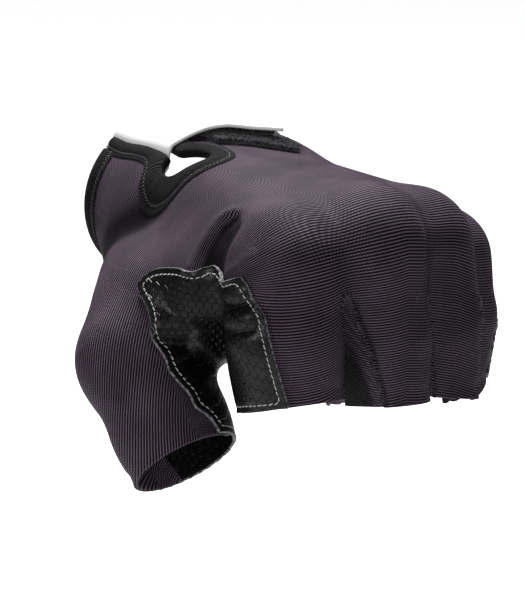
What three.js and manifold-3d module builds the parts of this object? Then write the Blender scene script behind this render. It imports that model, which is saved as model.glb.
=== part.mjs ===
// A left-hand, half-finger fitness glove as it sits on a closed fist, empty inside.
// Lengths are millimetres. The origin is the middle of the wrist opening.
// -Y runs from the wrist to the knuckles, +Z out of the back of the hand, -X to the thumb.
import * as THREE from "three";
import { mergeVertices } from "three/addons/utils/BufferGeometryUtils.js";
import Module from "manifold-3d";

const wasm = await Module();
wasm.setup();

// Driving sizes
const KNIT_WALL = 1.5; // stretch knit with its backing
const LEATHER_WALL = 1.1; // embossed synthetic leather
const GAP = 0.3; // room between neighbouring pieces
const SEAM_OVERLAP = 5; // knit that runs on under the leather's edge
const CUFF_TAPE = 5; // width of the tape round the cuff
const KEYHOLE_TAPE = 6; // width of the tape round the keyhole and its slit
const BINDING_PROUD = 0.7; // how far the tape stands out of the knit
const BINDING_INSIDE = 0.4; // how far the tape stands into the cuff
const CELL = 5.6; // spacing of the surface points
const FINENESS = 0.04; // slivers thinner than this are merged away

// Each row is a tapered rod with round ends: two centres with their radii.
const BODY = [
  { part: "wrist_thumb_side", from: [-8, 10, 0.5], r0: 20, to: [-12, -24, -1], r1: 19.5 },
  { part: "wrist_little_side", from: [9.5, 10, 1.5], r0: 19.5, to: [12, -24, -1], r1: 18 },
  { part: "index_metacarpal", from: [-12, -24, 3], r0: 16.5, to: [-28.5, -86, 5.5], r1: 14.5 },
  { part: "middle_metacarpal", from: [-4, -24, 2], r0: 15.5, to: [-10, -92, 8.5], r1: 14.8 },
  { part: "ring_metacarpal", from: [5, -24, 2.5], r0: 15, to: [9.5, -87, 4.2], r1: 14 },
  { part: "little_metacarpal", from: [13, -22, -1.5], r0: 15, to: [27.5, -77, -4.6], r1: 12.5 },
  { part: "ball_of_thumb", from: [-16, -24, -8], r0: 14, to: [-24, -66, -10], r1: 14 },
  { part: "thumb_web", from: [-38, -46, -12], r0: 12, to: [-33.5, -74, -2.5], r1: 12.5 },
  { part: "heel_of_hand", from: [14, -22, -10], r0: 14, to: [24, -64, -15], r1: 13 },
];

// A finger stub is two rods: knuckle to mid stub, then to just past the cut end.
const FINGERS = [
  { name: "index", knuckle: [-30, -88, 5.5], r0: 14.3, mid: [-33, -91.5, -9], r1: 14.4, tip: [-30.5, -92.3, -31], r2: 12.2 },
  { name: "middle", knuckle: [-10.5, -94, 8.5], r0: 14.6, mid: [-8.6, -98, -12], r1: 12.9, tip: [-8.2, -98, -35], r2: 12.4 },
  { name: "ring", knuckle: [10, -89, 3.8], r0: 13.8, mid: [12.8, -94.5, -14], r1: 12.1, tip: [13.6, -94.5, -37], r2: 11.6 },
  { name: "little", knuckle: [27.8, -80, -4.4], r0: 12.4, mid: [27.8, -85.7, -18], r1: 11.1, tip: [25, -85.5, -41], r2: 10.4 },
];

// The plane that cuts each stub: its height at the tip's middle, and its rise for each mm of x and y
const CUTS = {
  index: { z: -28.2, riseX: -0.1, riseY: -0.4 },
  middle: { z: -30.8, riseX: -0.12, riseY: -0.3 },
  ring: { z: -34.5, riseX: -0.25, riseY: -0.25 },
  little: { z: -38.5, riseX: 0.35, riseY: 0 },
};

const THUMB = [
  { part: "metacarpal", from: [-16, -22, -8], r0: 17.5, to: [-48, -52.5, -25], r1: 15 },
  { part: "knuckle_to_cut", from: [-48, -52.5, -25], r0: 15, to: [-50, -68, -38.5], r1: 13 },
  { part: "past_the_cut", from: [-50, -68, -38.5], r0: 13, to: [-51, -84, -54], r1: 12 },
];
const THUMB_CUT = { at: [-51, -75, -44], axis: [0, -0.75, -0.66] };

// Blend radii where the rods meet
const BLEND = { body: 10, finger: 1, betweenFingers: 2.5, knuckles: 6, thumb: 6, thumbRoot: 10, thumbToFingers: 1 };

// The side walls between two stubs: a folded strip with an open slot in it.
// The slot's middle is at x at height 0 and leans by lean for each mm of height.
// Its roof is level behind the knuckles and falls by roofFall towards the palm.
const FOURCHETTES = [
  { name: "fourchette_index_middle", x: -22, lean: -0.12, roofZ: -1, front: 5.5, back: 0.8 },
  { name: "fourchette_middle_ring", x: 0.5, lean: -0.11, roofZ: -4, front: 1, back: 0.8 },
  { name: "fourchette_ring_little", x: 20, lean: -0.06, roofZ: -9, front: 1, back: 0.8 },
];
const SLOT = { frontY: -125, roofBendY: -104, backY: -76, roofFall: 19, floorZ: -60 };

// The leather lies inside all the planes of palm, and inside those of either thumb or index.
const LEATHER_PLANES = {
  palm: [
    { side: "back", at: [-42, -65, 2], out: [0.03, 0.21, 1] },
    { side: "wrist", at: [0, -13, 0], out: [0, 1, 0] },
    { side: "little_finger", at: [34, -60, -12], out: [1, 0, 0.6] },
    { side: "below", at: [0, 0, -78], out: [0, 0, -1] },
    { side: "past_the_thumb", at: [-72, 0, 0], out: [-1, 0, 0] },
    { side: "past_the_fingers", at: [0, -135, 0], out: [0, -1, 0] },
  ],
  thumb: [
    { side: "thumb", at: [-50.8, -65, -16], out: [-1, -0.22, 0.08] },
    { side: "ball_of_thumb", at: [-48, -54, -4], out: [-0.45, 0.7, 0.55] },
    { side: "fingers", at: [0, -95, 0], out: [0.1, -1, 0] },
  ],
  index: [
    { side: "front", at: [-43.6, -96.4, -2.9], out: [0.99, 0.06, 0.11] },
    { side: "web", at: [-44, -74, 0], out: [-0.5, 0.85, 0] },
    { side: "over_thumb", at: [0, -88, -33], out: [0, 0.4, -1] },
  ],
};
const LEATHER_ROUNDING = 4;

// The notch in the back of the cuff: a leaning slit from the wrist that ends in a rounder keyhole.
const NOTCH = { slitX: -14.3, slitWidth: 7.6, lean: 0.13, keyX: -19.4, keyY: -34, keyRX: 5, keyRY: 7 };

// The wrist strap, by angle about the wrist's axis from the back of the hand, in degrees
const STRAP = { yNear: 1, yFar: -26, wall: 1.1, start: -58, riseFrom: -49, riseTo: -33, padFrom: -10, end: 55 };
const PADS = { loop: 1.1, hook: 1, hookFrom: 4, loopFrom: -4, hookInset: 1.5, loopPast: 5 };

const plus = (a, b, s = 1) => [a[0] + b[0] * s, a[1] + b[1] * s, a[2] + b[2] * s];
const dot = (a, b) => a[0] * b[0] + a[1] * b[1] + a[2] * b[2];
const unit = (a) => a.map((c) => c / Math.hypot(...a));

// Distance from p to a tapered rod with round ends
function rod(p, a, ra, b, rb) {
  const ab = plus(b, a, -1);
  const ap = plus(p, a, -1);
  const length2 = dot(ab, ab);
  const taper = ra - rb;
  const slope2 = length2 - taper * taper;
  const along = dot(ap, ab);
  const past = along - length2;
  const side = ap.map((c, i) => c * length2 - ab[i] * along);
  const side2 = dot(side, side);
  const edge = Math.sign(taper) * taper * taper * side2;
  if (Math.sign(past) * slope2 * past * past * length2 > edge) {
    return Math.sqrt(side2 + past * past * length2) / length2 - rb;
  }
  if (Math.sign(along) * slope2 * along * along * length2 < edge) {
    return Math.sqrt(side2 + along * along * length2) / length2 - ra;
  }
  return (Math.sqrt((side2 * slope2) / length2) + along * taper) / length2 - ra;
}

// The smaller of two distances, rounded over by k where they are alike
function blend(a, b, k) {
  const h = THREE.MathUtils.clamp(0.5 + (0.5 * (b - a)) / k, 0, 1);
  return b + (a - b) * h - k * h * (1 - h);
}

const blendAll = (distances, k) => distances.reduce((a, b) => blend(a, b, k));
const rods = (p, rows, k) => blendAll(rows.map((r) => rod(p, r.from, r.r0, r.to, r.r1)), k);

function stub(p, f) {
  return blend(rod(p, f.knuckle, f.r0, f.mid, f.r1), rod(p, f.mid, f.r1, f.tip, f.r2), BLEND.finger);
}

// The glove's outer face is where this is 0.
function gloveForm(p) {
  const body = rods(p, BODY, BLEND.body);
  const fingers = blendAll(FINGERS.map((f) => stub(p, f)), BLEND.betweenFingers);
  const withThumb = blend(body, rods(p, THUMB, BLEND.thumb), BLEND.thumbRoot);
  return blend(blend(body, fingers, BLEND.knuckles), withThumb, BLEND.thumbToFingers);
}

const cavityForm = (p) => gloveForm(p) + KNIT_WALL;

// Distance into the space on the inner side of all the planes
const insidePlanes = (p, rows) => blendAll(rows.map((f) => -dot(plus(p, f.at, -1), unit(f.out))), LEATHER_ROUNDING);

// The leather's region is where this is below 0.
function leatherForm(p) {
  const thumbOrIndex = -blend(-insidePlanes(p, LEATHER_PLANES.thumb), -insidePlanes(p, LEATHER_PLANES.index), 2);
  return -blend(insidePlanes(p, LEATHER_PLANES.palm), thumbOrIndex, LEATHER_ROUNDING);
}

const underLeatherForm = (p) => leatherForm(p) + SEAM_OVERLAP;

function gradient(field, p) {
  const h = 0.05;
  const step = [0, 1, 2].map((i) => {
    const e = [0, 0, 0];
    e[i] = h;
    return field(plus(p, e)) - field(plus(p, e, -1));
  });
  return unit(step);
}

// A net of points on the surface field = 0, one in each grid cell that the surface crosses.
function surfaceNet(field, low, high, cell) {
  const n = low.map((l, i) => Math.ceil((high[i] - l) / cell) + 1);
  const index = (i, j, k) => (i * n[1] + j) * n[2] + k;
  const value = new Float64Array(n[0] * n[1] * n[2]);
  for (let i = 0; i < n[0]; i++) {
    for (let j = 0; j < n[1]; j++) {
      for (let k = 0; k < n[2]; k++) {
        value[index(i, j, k)] = field([low[0] + i * cell, low[1] + j * cell, low[2] + k * cell]);
      }
    }
  }
  const stride = [n[1] * n[2], n[2], 1];
  const points = [];
  const pointOf = new Map();
  for (let i = 0; i < n[0] - 1; i++) {
    for (let j = 0; j < n[1] - 1; j++) {
      for (let k = 0; k < n[2] - 1; k++) {
        const crossing = cellCrossing(value, index(i, j, k), stride);
        if (crossing) {
          pointOf.set(index(i, j, k), points.length);
          points.push([i, j, k].map((c, a) => low[a] + (c + crossing[a]) * cell));
        }
      }
    }
  }
  const triangles = [];
  for (const at of pointOf.keys()) {
    for (let axis = 0; axis < 3; axis++) {
      const inside = value[at] < 0;
      if (inside === value[at + stride[axis]] < 0) continue;
      const [u, v] = [stride[(axis + 1) % 3], stride[(axis + 2) % 3]];
      const quad = [at - u - v, at - v, at, at - u].map((c) => pointOf.get(c));
      if (!inside) quad.reverse();
      triangles.push(quad[0], quad[1], quad[2], quad[0], quad[2], quad[3]);
    }
  }
  return { points: points.map((p) => settle(field, p)), triangles, field };
}

// The mean of the places where a cell's twelve edges cross the surface, in cell units
function cellCrossing(value, corner, stride) {
  const sum = [0, 0, 0];
  let count = 0;
  for (let axis = 0; axis < 3; axis++) {
    const [b, c] = [(axis + 1) % 3, (axis + 2) % 3];
    for (const [s, t] of [[0, 0], [1, 0], [0, 1], [1, 1]]) {
      const start = corner + s * stride[b] + t * stride[c];
      const [v0, v1] = [value[start], value[start + stride[axis]]];
      if (v0 < 0 === v1 < 0) continue;
      sum[axis] += v0 / (v0 - v1);
      sum[b] += s;
      sum[c] += t;
      count++;
    }
  }
  return count ? sum.map((x) => x / count) : null;
}

function settle(field, p) {
  for (let round = 0; round < 3; round++) p = plus(p, gradient(field, p), -field(p));
  return p;
}

// The net as a solid, each point moved out along the surface's own direction
function netSolid(net, offset) {
  const moved = net.points.map((p) => plus(p, gradient(net.field, p), offset));
  const mesh = { numProp: 3, vertProperties: new Float32Array(moved.flat()), triVerts: new Uint32Array(net.triangles) };
  return new wasm.Manifold(new wasm.Mesh(mesh));
}

function solidOf(geometry) {
  const bare = geometry.clone();
  bare.deleteAttribute("normal");
  bare.deleteAttribute("uv");
  const merged = mergeVertices(bare, 1e-4);
  const mesh = { numProp: 3, vertProperties: merged.attributes.position.array, triVerts: new Uint32Array(merged.index.array) };
  return new wasm.Manifold(new wasm.Mesh(mesh));
}

function boxSolid(low, high) {
  const size = plus(high, low, -1);
  const box = new THREE.BoxGeometry(...size);
  box.translate(...plus(low, size, 0.5));
  return solidOf(box);
}

// A straight-sided solid: a plan outline, from z0 up to z1
function prism(outline, z0, z1) {
  const shape = new THREE.Shape(outline.map(([x, y]) => new THREE.Vector2(x, y)));
  const geometry = new THREE.ExtrudeGeometry(shape, { depth: z1 - z0, bevelEnabled: false });
  geometry.translate(0, 0, z0);
  return solidOf(geometry);
}

// The slot between two stubs, grown by a wall's thickness on all sides
function slot(row, grow) {
  const bend = [SLOT.roofBendY, row.roofZ + grow];
  const roofBack = [SLOT.backY, row.roofZ - SLOT.roofFall + grow];
  const profile = [
    [SLOT.frontY, row.roofZ + grow],
    bend,
    roofBack,
    [SLOT.backY + grow, roofBack[1]],
    [SLOT.backY + grow, SLOT.floorZ],
    [SLOT.frontY, SLOT.floorZ],
  ];
  const corners = profile.flatMap(([y, z]) => {
    const toBack = THREE.MathUtils.mapLinear(y, SLOT.frontY, SLOT.backY, 0, 1);
    const half = THREE.MathUtils.lerp(row.front, row.back, toBack) / 2 + grow;
    const middle = row.x + row.lean * z;
    return [[middle - half, y, z], [middle + half, y, z]];
  });
  return wasm.Manifold.hull(corners);
}

function notchPrism(grow) {
  const half = NOTCH.slitWidth / 2 + grow;
  const end = NOTCH.slitX + NOTCH.lean * NOTCH.keyY;
  const slit = [
    [end - half, NOTCH.keyY],
    [end + half, NOTCH.keyY],
    [NOTCH.slitX + half + NOTCH.lean * 10, 10],
    [NOTCH.slitX - half + NOTCH.lean * 10, 10],
  ];
  const sides = 20;
  const key = Array.from({ length: sides }, (_, i) => {
    const a = (i / sides) * 2 * Math.PI;
    return [NOTCH.keyX + (NOTCH.keyRX + grow) * Math.cos(a), NOTCH.keyY + (NOTCH.keyRY + grow) * Math.sin(a)];
  });
  return prism(slit, 5, 45).add(prism(key, 5, 45));
}

// Everything past the cut ends of the stubs and the thumb
function cutEnds() {
  const stubs = FINGERS.map((f) => {
    const cut = CUTS[f.name];
    const ball = wasm.Manifold.sphere(f.r2 + 4, 24).translate(f.tip);
    const up = new THREE.Vector3(-cut.riseX, -cut.riseY, 1).normalize();
    const below = new THREE.BoxGeometry(60, 60, 60);
    below.translate(0, 0, -30);
    below.applyQuaternion(new THREE.Quaternion().setFromUnitVectors(new THREE.Vector3(0, 0, 1), up));
    below.translate(f.tip[0], f.tip[1], cut.z);
    return ball.intersect(solidOf(below));
  });
  const block = new THREE.BoxGeometry(60, 40, 60);
  block.translate(0, 0, 30);
  const turn = new THREE.Quaternion().setFromUnitVectors(new THREE.Vector3(0, 0, 1), new THREE.Vector3(...unit(THUMB_CUT.axis)));
  block.applyQuaternion(turn);
  block.translate(...THUMB_CUT.at);
  return wasm.Manifold.union([...stubs, solidOf(block)]);
}

const materials = {
  knit: { color: 0x17151a, roughness: 0.85 },
  leather: { color: 0x121213, roughness: 0.55 },
  binding: { color: 0x19181b, roughness: 0.9 },
  strap: { color: 0xf2f2f0, roughness: 0.5 },
  hook_tape: { color: 0x0d0d0e, roughness: 0.95 },
};

// Two cuts that graze leave crumbs, so only the piece itself is kept.
const largestBody = (solid) => solid.decompose().sort((a, b) => b.volume() - a.volume())[0];

const glove = new THREE.Group();

function piece(name, solid, material) {
  const out = largestBody(solid).simplify(FINENESS).getMesh();
  const geometry = new THREE.BufferGeometry();
  const position = new Float32Array(out.numVert * 3);
  for (let i = 0; i < out.numVert; i++) {
    position.set(out.vertProperties.subarray(i * out.numProp, i * out.numProp + 3), i * 3);
  }
  geometry.setAttribute("position", new THREE.BufferAttribute(position, 3));
  geometry.setIndex(new THREE.BufferAttribute(out.triVerts, 1));
  const mesh = new THREE.Mesh(geometry, new THREE.MeshStandardMaterial({ ...materials[material], metalness: 0 }));
  mesh.name = name;
  glove.add(mesh);
}

// A strip over the back of the wrist, by angle and by distance from the glove's face.
// level(angle) is the height of its lower face there.
function wristStrip(fromDeg, toDeg, yNear, yFar, level, wall) {
  const [columns, rows] = [22, 5];
  const ring = (deg, y, height) => {
    const a = THREE.MathUtils.degToRad(deg);
    const way = [Math.sin(a), 0, Math.cos(a)];
    let [near, far] = [5, 60];
    for (let i = 0; i < 30; i++) {
      const middle = (near + far) / 2;
      if (gloveForm([way[0] * middle, y, way[2] * middle]) < height) near = middle;
      else far = middle;
    }
    return [way[0] * near, y, way[2] * near];
  };
  const points = [];
  for (const lift of [0, wall]) {
    for (let i = 0; i <= columns; i++) {
      for (let j = 0; j <= rows; j++) {
        const deg = THREE.MathUtils.lerp(fromDeg, toDeg, i / columns);
        points.push(ring(deg, THREE.MathUtils.lerp(yNear, yFar, j / rows), level(deg) + lift));
      }
    }
  }
  const at = (side, i, j) => (side * (columns + 1) + i) * (rows + 1) + j;
  const triangles = [];
  const face = (a, b, c, d) => triangles.push(a, b, c, a, c, d);
  for (let i = 0; i < columns; i++) {
    for (let j = 0; j < rows; j++) {
      face(at(0, i, j), at(0, i + 1, j), at(0, i + 1, j + 1), at(0, i, j + 1));
      face(at(1, i, j), at(1, i, j + 1), at(1, i + 1, j + 1), at(1, i + 1, j));
    }
    face(at(0, i, 0), at(1, i, 0), at(1, i + 1, 0), at(0, i + 1, 0));
    face(at(0, i, rows), at(0, i + 1, rows), at(1, i + 1, rows), at(1, i, rows));
  }
  for (let j = 0; j < rows; j++) {
    face(at(0, 0, j), at(0, 0, j + 1), at(1, 0, j + 1), at(1, 0, j));
    face(at(0, columns, j), at(1, columns, j), at(1, columns, j + 1), at(0, columns, j + 1));
  }
  const mesh = { numProp: 3, vertProperties: new Float32Array(points.flat()), triVerts: new Uint32Array(triangles) };
  return new wasm.Manifold(new wasm.Mesh(mesh));
}

const [LOW, HIGH] = [[-87, -131, -84], [62, 41, 46]];
const outer = surfaceNet(gloveForm, LOW, HIGH, CELL);
const inner = surfaceNet(cavityForm, LOW, HIGH, CELL);
const REGION = [[-86, -150, -95], [85, 10, 35], 6];
const region = surfaceNet(leatherForm, ...REGION);
const underRegion = surfaceNet(underLeatherForm, ...REGION);

const ends = cutEnds();
const pastCuff = boxSolid([-60, 0, -60], [60, 60, 60]);
const cuffBand = (width) => boxSolid([-60, -width, -60], [60, 60, 60]);
const slots = (grow) => wasm.Manifold.union(FOURCHETTES.map((f) => slot(f, grow)));

const knit = netSolid(outer, 0)
  .subtract(netSolid(inner, 0))
  .subtract(ends)
  .subtract(cuffBand(CUFF_TAPE + GAP))
  .subtract(notchPrism(KEYHOLE_TAPE + GAP))
  .subtract(slots(KNIT_WALL + GAP))
  .subtract(netSolid(underRegion, 0));
piece("knit_shell", knit, "knit");

for (const row of FOURCHETTES) {
  const wall = slot(row, KNIT_WALL).subtract(slot(row, 0));
  piece(row.name, wall.intersect(netSolid(outer, 0)).subtract(ends), "knit");
}

const leather = netSolid(outer, GAP + LEATHER_WALL)
  .subtract(netSolid(outer, GAP).add(netSolid(outer, 0)))
  .intersect(netSolid(region, 0))
  .subtract(ends)
  .subtract(slots(0));
piece("palm_leather", leather, "leather");

const tape = netSolid(outer, BINDING_PROUD).subtract(netSolid(inner, -BINDING_INSIDE)).subtract(pastCuff);
piece("cuff_binding", tape.intersect(cuffBand(CUFF_TAPE)).subtract(notchPrism(KEYHOLE_TAPE + GAP)), "binding");
piece("keyhole_binding", tape.intersect(notchPrism(KEYHOLE_TAPE)).subtract(notchPrism(0)), "binding");

// The strap starts inside the cuff on the thumb side, comes up through the slit and lies over the pads.
const padTop = GAP + PADS.loop + GAP + PADS.hook + GAP;
function strapLevel(deg) {
  const under = -KNIT_WALL - BINDING_INSIDE - GAP - STRAP.wall;
  const over = BINDING_PROUD + GAP + 0.2;
  const rise = THREE.MathUtils.smoothstep(deg, STRAP.riseFrom, STRAP.riseTo);
  const stack = THREE.MathUtils.smoothstep(deg, STRAP.riseTo, STRAP.padFrom);
  return THREE.MathUtils.lerp(THREE.MathUtils.lerp(under, over, rise), padTop, stack);
}
piece("wrist_strap", wristStrip(STRAP.start, STRAP.end, STRAP.yNear, STRAP.yFar, strapLevel, STRAP.wall), "strap");
const padNear = -CUFF_TAPE - GAP;
const hookFar = STRAP.yFar + PADS.hookInset;
const hookLevel = () => GAP + PADS.loop + GAP;
piece("hook_pad", wristStrip(PADS.hookFrom, STRAP.end - 2, padNear, hookFar, hookLevel, PADS.hook), "hook_tape");
piece("loop_pad", wristStrip(PADS.loopFrom, STRAP.end + PADS.loopPast, padNear, STRAP.yFar - 3, () => GAP, PADS.loop), "hook_tape");

export default glove;
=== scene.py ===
"""A half-finger fitness glove on a closed fist: cloth, leather, tape, strap and stitches round its frame."""

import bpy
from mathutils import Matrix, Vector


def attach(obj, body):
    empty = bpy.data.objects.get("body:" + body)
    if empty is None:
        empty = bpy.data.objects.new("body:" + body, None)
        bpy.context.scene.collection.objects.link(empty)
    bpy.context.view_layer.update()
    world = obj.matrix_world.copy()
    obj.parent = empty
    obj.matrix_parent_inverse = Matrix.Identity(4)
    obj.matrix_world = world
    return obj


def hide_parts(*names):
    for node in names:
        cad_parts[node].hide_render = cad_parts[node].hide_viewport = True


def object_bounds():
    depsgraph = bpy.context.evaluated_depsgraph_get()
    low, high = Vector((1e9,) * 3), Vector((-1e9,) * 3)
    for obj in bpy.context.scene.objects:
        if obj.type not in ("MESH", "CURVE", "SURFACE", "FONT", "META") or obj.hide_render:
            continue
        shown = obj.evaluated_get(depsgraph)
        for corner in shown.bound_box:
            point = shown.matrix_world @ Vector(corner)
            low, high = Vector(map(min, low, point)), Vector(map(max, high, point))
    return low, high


bl_info = {
    "name": "Fitness glove",
    "version": (1, 0, 0),
    "blender": (4, 5, 0),
    "location": "View3D > Sidebar > Glove",
    "description": "Dresses the packed glove with knit, leather, tape, a strap and stitches",
    "category": "Add Mesh",
}

import functools
import math
from types import SimpleNamespace

import bpy
import numpy as np
from bpy.props import FloatProperty, FloatVectorProperty, PointerProperty
from mathutils import Matrix, Vector
from mathutils.kdtree import KDTree

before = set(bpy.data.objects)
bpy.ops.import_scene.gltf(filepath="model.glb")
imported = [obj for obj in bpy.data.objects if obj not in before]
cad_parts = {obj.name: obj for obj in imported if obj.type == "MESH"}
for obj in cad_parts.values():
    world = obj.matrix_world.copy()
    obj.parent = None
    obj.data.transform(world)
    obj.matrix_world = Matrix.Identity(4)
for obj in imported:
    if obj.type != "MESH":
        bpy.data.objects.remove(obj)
CAD_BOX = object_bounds()

# Lengths are millimetres unless a name says otherwise. A mesh is scaled to metres when it is made.
MM = 0.001
BODY_NAME = "root"
CELL = 0.95  # spacing of the surface points
GAP = 0.15  # room between neighbouring pieces
FAR = 50.0  # a distance past anything on the glove

# Each row is a tapered rod with round ends: two centres with their radii.
BODY = [
    {"part": "wrist_thumb_side", "from": (-8, 10, 0.5), "r0": 20, "to": (-12, -24, -1), "r1": 19.5},
    {"part": "wrist_little_side", "from": (9.5, 10, 1.5), "r0": 19.5, "to": (12, -24, -1), "r1": 18},
    {"part": "index_metacarpal", "from": (-12, -24, 3), "r0": 16.5, "to": (-28.5, -86, 5.5), "r1": 14.5},
    {"part": "middle_metacarpal", "from": (-4, -24, 2), "r0": 15.5, "to": (-10, -92, 8.5), "r1": 14.8},
    {"part": "ring_metacarpal", "from": (5, -24, 2.5), "r0": 15, "to": (9.5, -87, 4.2), "r1": 14},
    {"part": "little_metacarpal", "from": (13, -22, -1.5), "r0": 15, "to": (27.5, -77, -4.6), "r1": 12.5},
    {"part": "ball_of_thumb", "from": (-16, -24, -8), "r0": 14, "to": (-24, -66, -10), "r1": 14},
    {"part": "thumb_web", "from": (-38, -46, -12), "r0": 12, "to": (-33.5, -74, -2.5), "r1": 12.5},
    {"part": "heel_of_hand", "from": (14, -22, -10), "r0": 14, "to": (24, -64, -15), "r1": 13},
]
THUMB = [
    {"part": "metacarpal", "from": (-16, -22, -8), "r0": 17.5, "to": (-48, -52.5, -25), "r1": 15},
    {"part": "knuckle_to_cut", "from": (-48, -52.5, -25), "r0": 15, "to": (-50, -68, -38.5), "r1": 13},
    {"part": "past_the_cut", "from": (-50, -68, -38.5), "r0": 13, "to": (-51, -84, -54), "r1": 12},
]
THUMB_CUT = {"at": (-51, -75, -44), "axis": (0, -0.75, -0.66)}

# A finger stub is two rods: knuckle to mid stub, then to just past the cut end.
# cut_z is the height of the cut at the tip's middle, rise_x and rise_y its slope for each mm of x and y.
FINGERS = [
    {"name": "index", "knuckle": (-30, -88, 5.5), "r0": 14.3, "mid": (-33, -91.5, -9), "r1": 14.4,
     "tip": (-30.5, -92.3, -31), "r2": 12.2, "cut_z": -28.2, "rise_x": -0.1, "rise_y": -0.4},
    {"name": "middle", "knuckle": (-10.5, -94, 8.5), "r0": 14.6, "mid": (-8.6, -98, -12), "r1": 12.9,
     "tip": (-8.2, -98, -35), "r2": 12.4, "cut_z": -30.8, "rise_x": -0.12, "rise_y": -0.3},
    {"name": "ring", "knuckle": (10, -89, 3.8), "r0": 13.8, "mid": (12.8, -94.5, -14), "r1": 12.1,
     "tip": (13.6, -94.5, -37), "r2": 11.6, "cut_z": -34.5, "rise_x": -0.25, "rise_y": -0.25},
    {"name": "little", "knuckle": (27.8, -80, -4.4), "r0": 12.4, "mid": (27.8, -85.7, -18), "r1": 11.1,
     "tip": (25, -85.5, -41), "r2": 10.4, "cut_z": -38.5, "rise_x": 0.35, "rise_y": 0},
]
BLEND = {"body": 10, "finger": 1, "between_fingers": 2.5, "knuckles": 6, "thumb": 6, "thumb_root": 10,
         "thumb_to_fingers": 1}

# The slot between two stubs and the side walls in it. seam_left and seam_right are how far
# the side wall's two seams lie past the slot's edges.
SLOTS = [
    {"node": "fourchette_index_middle", "x": -24, "lean": -0.2, "roof_z": 0.5, "front": 8, "back": 0.8,
     "widening": 0.4, "seam_left": 0.6, "seam_right": 0.9},
    {"node": "fourchette_middle_ring", "x": 0.5, "lean": -0.11, "roof_z": -4, "front": 1.0, "back": 0.8,
     "widening": 0.6, "seam_left": 0.9, "seam_right": 1.1},
    {"node": "fourchette_ring_little", "x": 20, "lean": -0.06, "roof_z": -9, "front": 1.0, "back": 0.8,
     "widening": 0.6, "seam_left": 0.9, "seam_right": 1.1},
]
SLOT_RUN = {"front_y": -125, "bend_y": -104, "back_y": -76, "fall": 19, "opens_over": 22, "seam_run": 0.43}

# The leather lies inside all the planes of "palm", and inside those of either "thumb" or "index".
# "wanders" moves an edge outwards by some millimetres at places along Y (1) or Z (2).
LEATHER_PLANES = {
    "palm": [
        {"side": "back", "at": (-42, -65, 2), "out": (0.03, 0.21, 1), "along": 1,
         "wanders": [(-92, -0.6), (-89.8, -0.8), (-87.4, -1.5), (-84.5, -2.2), (-78.9, -0.4), (-76.7, 0.7),
                     (-75, 0), (-73.2, -0.5), (-69.1, -0.5), (-65.6, -0.4), (-62.2, -0.6), (-57.8, -1)]},
        {"side": "wrist", "at": (0, -13, 0), "out": (0, 1, 0)},
        {"side": "little_finger", "at": (34, -60, -12), "out": (1, 0, 0.6)},
        {"side": "below", "at": (0, 0, -78), "out": (0, 0, -1)},
    ],
    "thumb": [
        {"side": "thumb", "at": (-50.8, -65, -16), "out": (-1, -0.22, 0.08), "along": 2,
         "wanders": [(-40, -3), (-33.3, -1.6), (-27.9, 0.8), (-24.5, 1.7), (-21.9, 2), (-19.7, 1.5),
                     (-16.8, 2), (-14.9, 2.4), (-12.5, 1.8), (-10.5, 0.8), (-6, -1.2), (-2, 1), (2, 5), (8, 9)]},
        {"side": "ball_of_thumb", "at": (-48, -54, -4), "out": (-0.45, 0.7, 0.55)},
        {"side": "fingers", "at": (0, -95, 0), "out": (0.1, -1, 0)},
        {"side": "index_front", "at": (-25, -95, -8), "out": (-0.3, -0.9, 0.3)},
    ],
    "index": [
        {"side": "front", "at": (0, 0, 0), "out": (0.75, -0.66, 0), "along": 2,
         "wanders": [(-30, 38.8), (-22.4, 37), (-15.3, 35.1), (-8.8, 33.4), (-1.5, 31.4), (2.2, 28.4),
                     (7.2, 25.3), (12, 22)]},
        {"side": "web", "at": (-44, -74, 0), "out": (-0.5, 0.85, 0)},
        {"side": "over_thumb", "at": (0, -88, -33), "out": (0, 0.4, -1)},
    ],
}
LEATHER_ROUNDING = 3
LEATHER = {"lift": 0.2, "off_slot": 0.4, "pucker": 0.22, "pucker_half": 0.5, "pinch": 0.12, "pinch_fades": 1.6,
           "pinch_turns": (2.1, 1.4, 2.9), "stitch_sinks": 0.12, "widest_inset": 20}
# Where the leather's coordinates change from the thumb's inner face to the palm and to the index stub
LEATHER_MAP = {"thumb_way": (0.83, -0.55), "palm_faces": -0.75, "palm_from_x": -38, "index_from_y": -80,
               "stub_middle": (-33, -90), "stub_radius": 13.8, "stub_slope": 0.15}

# The knit goes some way under the leather, and flares at its cut hems
KNIT = {"under_leather": 5, "side_wall_under": 2, "flare": 0.5, "flare_fades": 0.8, "dip": 0.25, "dip_at": 3,
        "dip_half": 1.2}

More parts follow.
